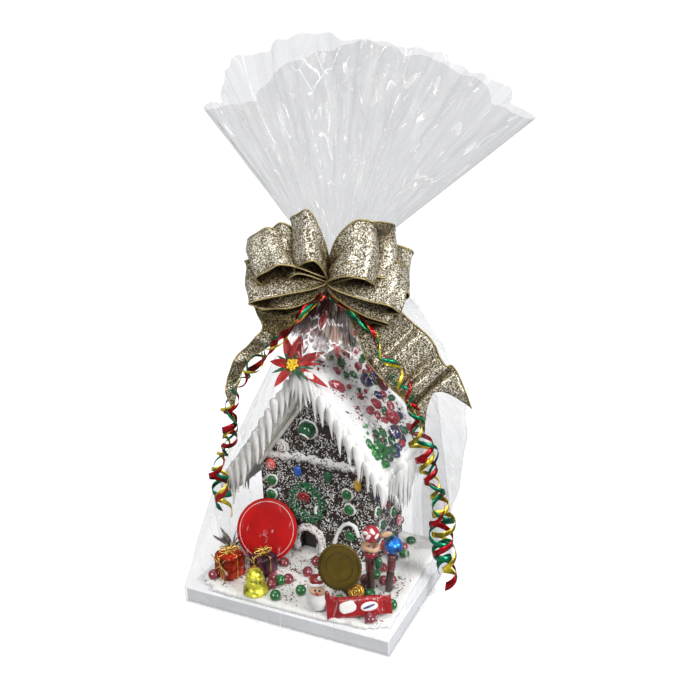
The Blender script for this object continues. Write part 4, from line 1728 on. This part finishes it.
def build_yard():
    gift("gift_red_wrapped", "gift_red", RED_FOIL, (-87.5, -67.0), (27.5, 30.0), -0.33)
    gift("gift_purple_wrapped", "gift_purple", PURPLE_FOIL, (-54.0, -47.5), (25.0, 24.5), -0.33)

    bell = Build()
    profile = [(0, 26.5), (3.2, 26.2), (6.0, 24.6), (7.8, 21.6), (8.6, 18.0), (9.0, 14.0), (9.8, 10.0), (11.4, 6.4), (12.8, 4.0), (13.2, 2.0),
               (12.4, 0.4), (0, 0.0)]
    verts, faces = lathe(dense(profile, 4), 56, 0.02, 1.0)
    moved = []
    for v in verts:
        v = Vector(v)
        n = noise.noise(v * 0.34) + 0.8 * abs(noise.noise(v * 0.8))
        moved.append(v + Vector((v.x, v.y, 0.0)).normalized() * (1.3 * n) if v.length > 0.1 and (v.x or v.y) else v)
    bell.add((moved, faces), at(-42.0, -85.0, YARD_Z + 0.2, (0.0, 0.0, 1.0), 0.0, 1.08))
    bell.piece("foil_bell_wrapped", [YELLOW_FOIL], ("foil_bell",))

    pine = Build()
    chance = random.Random(3)
    core = Vector((-106.0, -35.0, YARD_Z + 14.0))
    pine.add(tube([core + Vector((0.0, 0.0, -14.0)), core, core + Vector((2.0, 0.0, 8.0))], [2.0, 1.6, 0.8], 6))
    for k in range(15):
        a = 2.4 * k
        way = Vector((math.cos(a) - 0.1, 0.5 * math.sin(a) - 0.35, 0.35 + 0.75 * chance.random())).normalized()
        length = chance.uniform(17.0, 27.0)
        grid = sheet(petal_rows(length, chance.uniform(3.4, 5.0), 0.3, 0.12 * chance.uniform(-1.0, 1.0)), 0.5)
        turn = Matrix.Translation(core + way * 2.0) @ way.to_track_quat("Y", "Z").to_matrix().to_4x4()
        pine.add((grid[0], grid[1]), turn)
    pine.piece("pine_twig", [NEEDLE], ("pine_sprig",))

    santa = Build()
    turn = Matrix.Translation((38.5, -85.5, YARD_Z + 0.3))
    santa.add(lathe([(0, 39.0), (4.6, 38.2), (8.6, 35.4), (11.2, 30.0), (12.8, 23.0), (13.4, 16.0), (12.8, 9.0), (10.6, 3.4), (7.0, 0.8), (0, 0.0)], 36,
                    0.02, 2.0), turn, 0)
    face = turn @ at(4.6, -9.2, 28.0, (0.42, -0.84, 0.34), -0.15)
    santa.add(bulk("ball", 4, 1.0, 0.03, 2.0, (8.8, 5.2, 4.2)), face, 1)
    for reach in (-2.2, 2.2):
        santa.add(ball(1.3, 2), face @ Matrix.Translation((reach, 1.4, 3.9)), 2)
    santa.add(ball(2.0, 2), face @ Matrix.Translation((0.0, -2.4, 4.0)), 3)
    santa.add(bulk("ball", 4, 3.0, 0.10, 2.2, (8.6, 8.0, 4.6)), turn @ Matrix.Translation((0.5, -1.5, 37.0)), 3)
    santa.add(ball(2.8, 3, 2.0, 0.1), turn @ Matrix.Translation((5.5, -4.0, 40.5)), 0)
    brim = [turn @ Vector((0.6 + 9.6 * math.cos(TAU * k / 24), -1.4 + 9.2 * math.sin(TAU * k / 24), 34.4 + 0.5 * math.sin(TAU * k / 6)))
            for k in range(24)]
    santa.add(loop_tube(brim, 1.8, 8), None, 0)
    santa.add(bulk("ball", 3, 4.0, 0.12, 2.0, (2.8, 3.4, 6.6)), turn @ Matrix.Translation((12.8, -3.0, 20.0)), 3)
    santa.piece("santa_figure", [WHITE_SHELL, BISCUIT, BLACK, RED], ("santa_sweet",))

    block = Build()
    block.add(bulk("box", 7, 2.0, 0.04, 2.4, (10.0, 7.0, 6.2), 8.0), at(66.0, -49.0, YARD_Z + 6.4))
    block.piece("fudge_cube", [CHOCOLATE], ("fudge_block",))

    coin = Build()
    face = at(72.5, -61.0, YARD_Z + 14.0, (0.3, -0.82, 0.5))
    coin.add(lathe([(0, 1.6), (7.2, 1.6), (8.2, 2.0), (8.8, 1.2), (8.8, -1.2), (8.0, -1.6), (0, -1.6)], 40), face, 0)
    line = [face @ Vector(((0.5 + 0.2 * k) * math.cos(0.42 * k), (0.5 + 0.2 * k) * math.sin(0.42 * k), 1.9)) for k in range(36)]
    coin.add(tube(line, 0.75, 6), None, 1)
    coin.piece("coin_foil", [COIN_FOIL, GOLD_LINE], ("coin_sweet",))
    build_bar()
    build_stand()


def build_bar():
    """A wrapped bar with crimped ends and plain white shapes."""
    build = Build()
    turn = Matrix.Translation((84.5, -80.0, YARD_Z + 11.2)) @ Matrix.Rotation(0.38, 4, "Z") @ Matrix.Rotation(-0.08, 4, "Y")
    rows = []
    count = 64
    for i in range(count + 1):
        x = -35.0 + 70.0 * i / count
        edge = min(i, count - i) / count
        full = min(1.0, max(0.0, (edge - 0.13) / 0.09))
        full = full * full * (3.0 - 2.0 * full)
        half_h = 0.7 + 4.8 * full
        half_w = (12.5 if x < 0 else 9.6) * (1.0 - full) + 10.6 * full
        row = []
        for j in range(28):
            a = TAU * j / 28
            c, s = math.cos(a), math.sin(a)
            y = half_w * math.copysign(abs(c) ** 0.55, c)
            z = half_h * math.copysign(abs(s) ** 0.55, s)
            crimp = (1.0 - full) * 0.55 * math.sin(2.6 * i + (0.0 if i < 32 else 1.9 * y))
            ripple = 0.55 * noise.noise(Vector((x * 0.22, y * 0.3, z * 0.3 + 3.0)))
            row.append(Vector((x, y + ripple, z + crimp + ripple)))
        rows.append(row)
    verts = [v for row in rows for v in row]
    faces = []
    for i in range(count):
        a, b = i * 28, (i + 1) * 28
        faces += [(a + j, a + (j + 1) % 28, b + (j + 1) % 28, b + j) for j in range(28)]
    faces.append(tuple(reversed(range(28))))
    faces.append(tuple(range(count * 28, count * 28 + 28)))
    build.add((verts, faces), turn @ Matrix.Rotation(math.radians(66.0), 4, "X"), 0)
    face = turn @ Matrix.Rotation(math.radians(66.0), 4, "X")
    build.add(bulk("box", 8, 3.0, 0.08, 2.6, (8.8, 6.0, 0.8), 3.0), face @ Matrix.Translation((-11.5, 0.6, 5.5)) @ Matrix.Rotation(0.2, 4, "Z"), 1)
    build.add(bulk("ball", 4, 2.0, 0.02, 1.0, (9.4, 4.8, 0.9)), face @ Matrix.Translation((11.5, 0.2, 5.5)) @ Matrix.Rotation(0.12, 4, "Z"), 1)
    build.add(bulk("ball", 4, 2.0, 0.02, 1.0, (7.0, 1.5, 0.7)), face @ Matrix.Translation((11.5, 0.2, 6.0)) @ Matrix.Rotation(0.3, 4, "Z"), 2)
    build.piece("wrapped_bar", [WRAP_RED, WHITE_SHELL, simple("bar_blue", (0.02, 0.03, 0.12), (0.04, 0.05, 0.2), 90.0, 0.3, 300.0, 0.0002)],
                ("candy_bar",))


def build_stand():
    """The group at the right front corner: dipped rods with sweets on and beside them."""
    for name, base, top, radius in (("dipped_rod_left", (77.0, -33.5, 24.0), (77.2, -33.5, 65.5), 5.0),
                                    ("dipped_rod_right", (96.0, -27.0, 24.0), (102.0, -27.0, 70.5), 4.6)):
        build = Build()
        path = [Vector(base).lerp(Vector(top), k / 14) for k in range(15)]
        radii = [radius * (0.94 + 0.05 * math.sin(2.1 * k)) for k in range(15)]
        radii[0], radii[-1] = radius * 0.8, radius * 0.6
        verts, faces = rough_bead(path, 1.0, 6.0, 16, 0.1)
        verts = [path[min(14, k // 16)] + (v - path[min(14, k // 16)]) * radii[min(14, k // 16)] for k, v in enumerate(verts)]
        build.add((verts, faces), None, 0)
        drip = [Vector(base).lerp(Vector(top), 0.55 + 0.45 * k / 8) + Vector((0.0, 0.0, 0.6)) for k in range(9)]
        build.add(tube(drip, [radius * r for r in (0.9, 1.02, 1.05, 1.03, 1.06, 1.03, 1.02, 0.9, 0.5)], 16), None, 1)
        build.piece(name + "_stick", [CHOCOLATE, MAROON], (name,))

    lozenge = Build()
    lozenge.add(bulk("ball", 4, 2.0, 0.05, 1.8, (8.0, 7.2, 5.6)), at(79.0, -34.0, 71.4, (0.1, -0.2, 1.0)))
    lozenge.piece("red_lozenge_sweet", [JELLY_RED], ("red_lozenge",))

    ring = Build()
    path = [Vector((79.5 + 8.4 * math.cos(TAU * k / 40), -35.0 + 7.0 * math.sin(TAU * k / 40), 80.0 + 0.6 * math.sin(TAU * k / 13))) for k in range(40)]
    ring.add(loop_tube(path, 2.9, 10))
    ring.piece("pretzel_ring_sweet", [BISCUIT], ("pretzel_ring",))

    swirl = Build()
    centre = Vector((80.0, -34.5, 95.8))
    swirl.add(ball(9.9, 4), at(*centre), 0)
    for k, (east, up) in enumerate(((-1.9, 0.5), (-1.45, 0.15), (-0.9, 0.75), (-2.4, -0.2), (-0.4, 0.1), (0.6, 0.5), (2.2, 0.4))):
        n = Vector((math.cos(up) * math.cos(east), math.cos(up) * math.sin(east), math.sin(up)))
        swirl.add(bulk("ball", 3, 1.0 + k, 0.25, 2.4, (3.6, 2.0, 0.7)), at(*(centre + n * 9.6), n, 0.9 * k), 1)
    swirl.piece("red_swirl_sweet", [candy("swirl_red", (0.50, 0.012, 0.03), 0.7), WHITE_SHELL], ("red_swirl_ball",))

    ear = Build()
    ear.add(bulk("ball", 3, 2.0, 0.1, 1.8, (7.2, 3.4, 4.0)), at(95.5, -28.5, 95.0, (0.1, -0.8, 0.6), 0.4))
    ear.piece("biscuit_ear", [BISCUIT])

    blue = Build()
    blue.add(bulk("ball", 4, 3.0, 0.06, 2.6, (10.0, 10.0, 9.6)), at(103.5, -27.0, 83.0))
    blue.piece("blue_foil_ball", [BLUE_FOIL], ("blue_ball",), smooth=False)

    oval = Build()
    oval.add(bulk("ball", 4, 1.0, 0.03, 1.6, (4.8, 4.2, 7.6)), at(89.0, -36.4, 62.0))
    oval.piece("corner_oval_sweet", [DARK_GREEN], ("corner_oval_green",))

    mint = Build()
    mint.add(pill(7.4, 6.0, 30, 0.7, 9), at(66.6, 78.0, 52.0, (1, 0, 0)), 0)
    for arm in range(5):
        line = []
        for k in range(8):
            a = TAU * arm / 5 + 0.16 * k
            line.append(Vector((69.4 - 0.012 * (1 + k) ** 2, 78.0 + (1.0 + 0.75 * k) * math.cos(a), 52.0 + (1.0 + 0.75 * k) * math.sin(a))))
        mint.add(tube(line, [0.4 + 0.09 * k for k in range(8)], 8, flat=0.6), None, 1)
    mint.piece("side_mint_sweet", [PINK, WHITE_SHELL], ("side_mint",))


def yard_details():
    """Buttons, sprinkles and the sweets along the side wall."""
    build = Build()
    red = ((-39, -26), (-4, -10), (-3, -34), (-17, -55), (-29, -71), (-35, -58), (-102, -81), (100, -86), (86, -16), (66, -24),
           (52, -44), (-74, -34))
    green = ((-14, -89), (-24, -61), (8, -70), (82, -46), (112, -56), (56, -70))
    for k, (x, y) in enumerate(red + green):
        mat = 0 if k < len(red) else 1
        tilt = (0.3 + 0.3 * math.sin(2.3 * k), -0.6 + 0.3 * math.cos(1.7 * k), 0.8)
        build.add(pill(6.2, 8.0, 24, 0.8, 9), at(x, y, snow_height(x, y) + 4.6, tilt), mat)
    build.piece("yard_buttons", [DUSTY_RED, GREEN])

    chance = random.Random(18)
    bits = Build()
    made = 0
    while made < 900:
        x, y = chance.uniform(-112.0, 112.0), chance.uniform(-92.0, 6.0)
        if noise.noise(Vector((x / 18.0, y / 18.0, 2.0))) < chance.uniform(-0.4, 0.4):
            continue
        size = chance.choice((0.5, 0.7, 0.9, 1.2)) * chance.uniform(0.8, 1.3)
        way = (chance.uniform(-1, 1), chance.uniform(-1, 1), chance.uniform(0.0, 0.5))
        bits.add(SPRINKLE, at(x, y, snow_height(x, y) + 0.4, way, 0.0, size), chance.choice((0, 0, 1, 2, 3, 3)))
        made += 1
    bits.piece("yard_sprinkles", [RED, GREEN, BLACK, BROWN])

    side = Build()
    for k, (y, z, mat, size) in enumerate((
            (31, 69.5, 0, 6.2), (65, 69, 1, 6.4), (20, 92, 1, 5.6), (48, 88, 3, 5.4), (76, 92, 2, 6.0), (86, 74, 0, 5.0),
            (28, 44, 3, 6.6), (46, 52, 4, 6.0), (58, 40, 1, 6.2), (22, 110, 4, 5.0), (66, 106, 3, 5.2), (44, 112, 1, 4.6),
            (88, 46, 3, 6.0), (38, 32, 2, 5.4), (70, 32, 4, 6.4))):
        shape = bulk("ball", 3, 0.7 * k, 0.12, 1.9, (size, 0.85 * size, 0.62 * size))
        side.add(shape, at(65.0, y, z, (1.0, 0.1 * math.sin(k), 0.0), 1.3 * k), mat)
        if k < 8:
            icing_ring(side, (63.9, y, z), (1.0, 0.0, 0.0), size * 0.98, 1.2, 0.9 * k, 5)
    for k, (x, y, mat) in enumerate(((74, 8, 3), (76, 34, 4), (86, 46, 1), (78, 60, 3), (82, 78, 0), (72, -8, 1), (92, -10, 3))):
        shape = bulk("ball", 3, 1.7 * k, 0.10, 1.8, (6.8, 6.2, 5.0))
        side.add(shape, at(x, y, snow_height(x, y) + 3.6, (0.2 * math.sin(k), 0.2, 1.0), k), mat)
    side.piece("side_sweets", [DARK_GREEN, GREEN, PINK, JELLY_RED, NAVY, ICING])

    arch = Build()
    arch.add(pill(6.4, 6.0, 24, 0.8, 9), at(32.6, FRONT_Y - 2.6, 58.5, FRONT))
    arch.piece("arch_button", [GREEN])

    door = Build()
    rows = []
    for i in range(9):
        z = 28.0 + 29.0 * i / 8
        half = 13.2 if z < 43.0 else math.sqrt(max(0.0, 13.4 ** 2 - (z - 43.6) ** 2))
        rows.append([Vector((-22.5 + half * (j / 4 - 1.0), FRONT_Y + 6.0 + 0.4 * math.sin(i + j), z)) for j in range(9)])
    door.add(sheet(rows, 1.2))
    door.mats = [0] * len(door.faces)
    door.piece("door_dark", [BLACK])


build_snow()
build_roof_icing()
build_wall_icing()
build_sugar()
build_bow()
build_curls()
build_labels()
front_sweets()
build_wreath()
build_poinsettia()
roof_sweets()
build_yard()
yard_details()
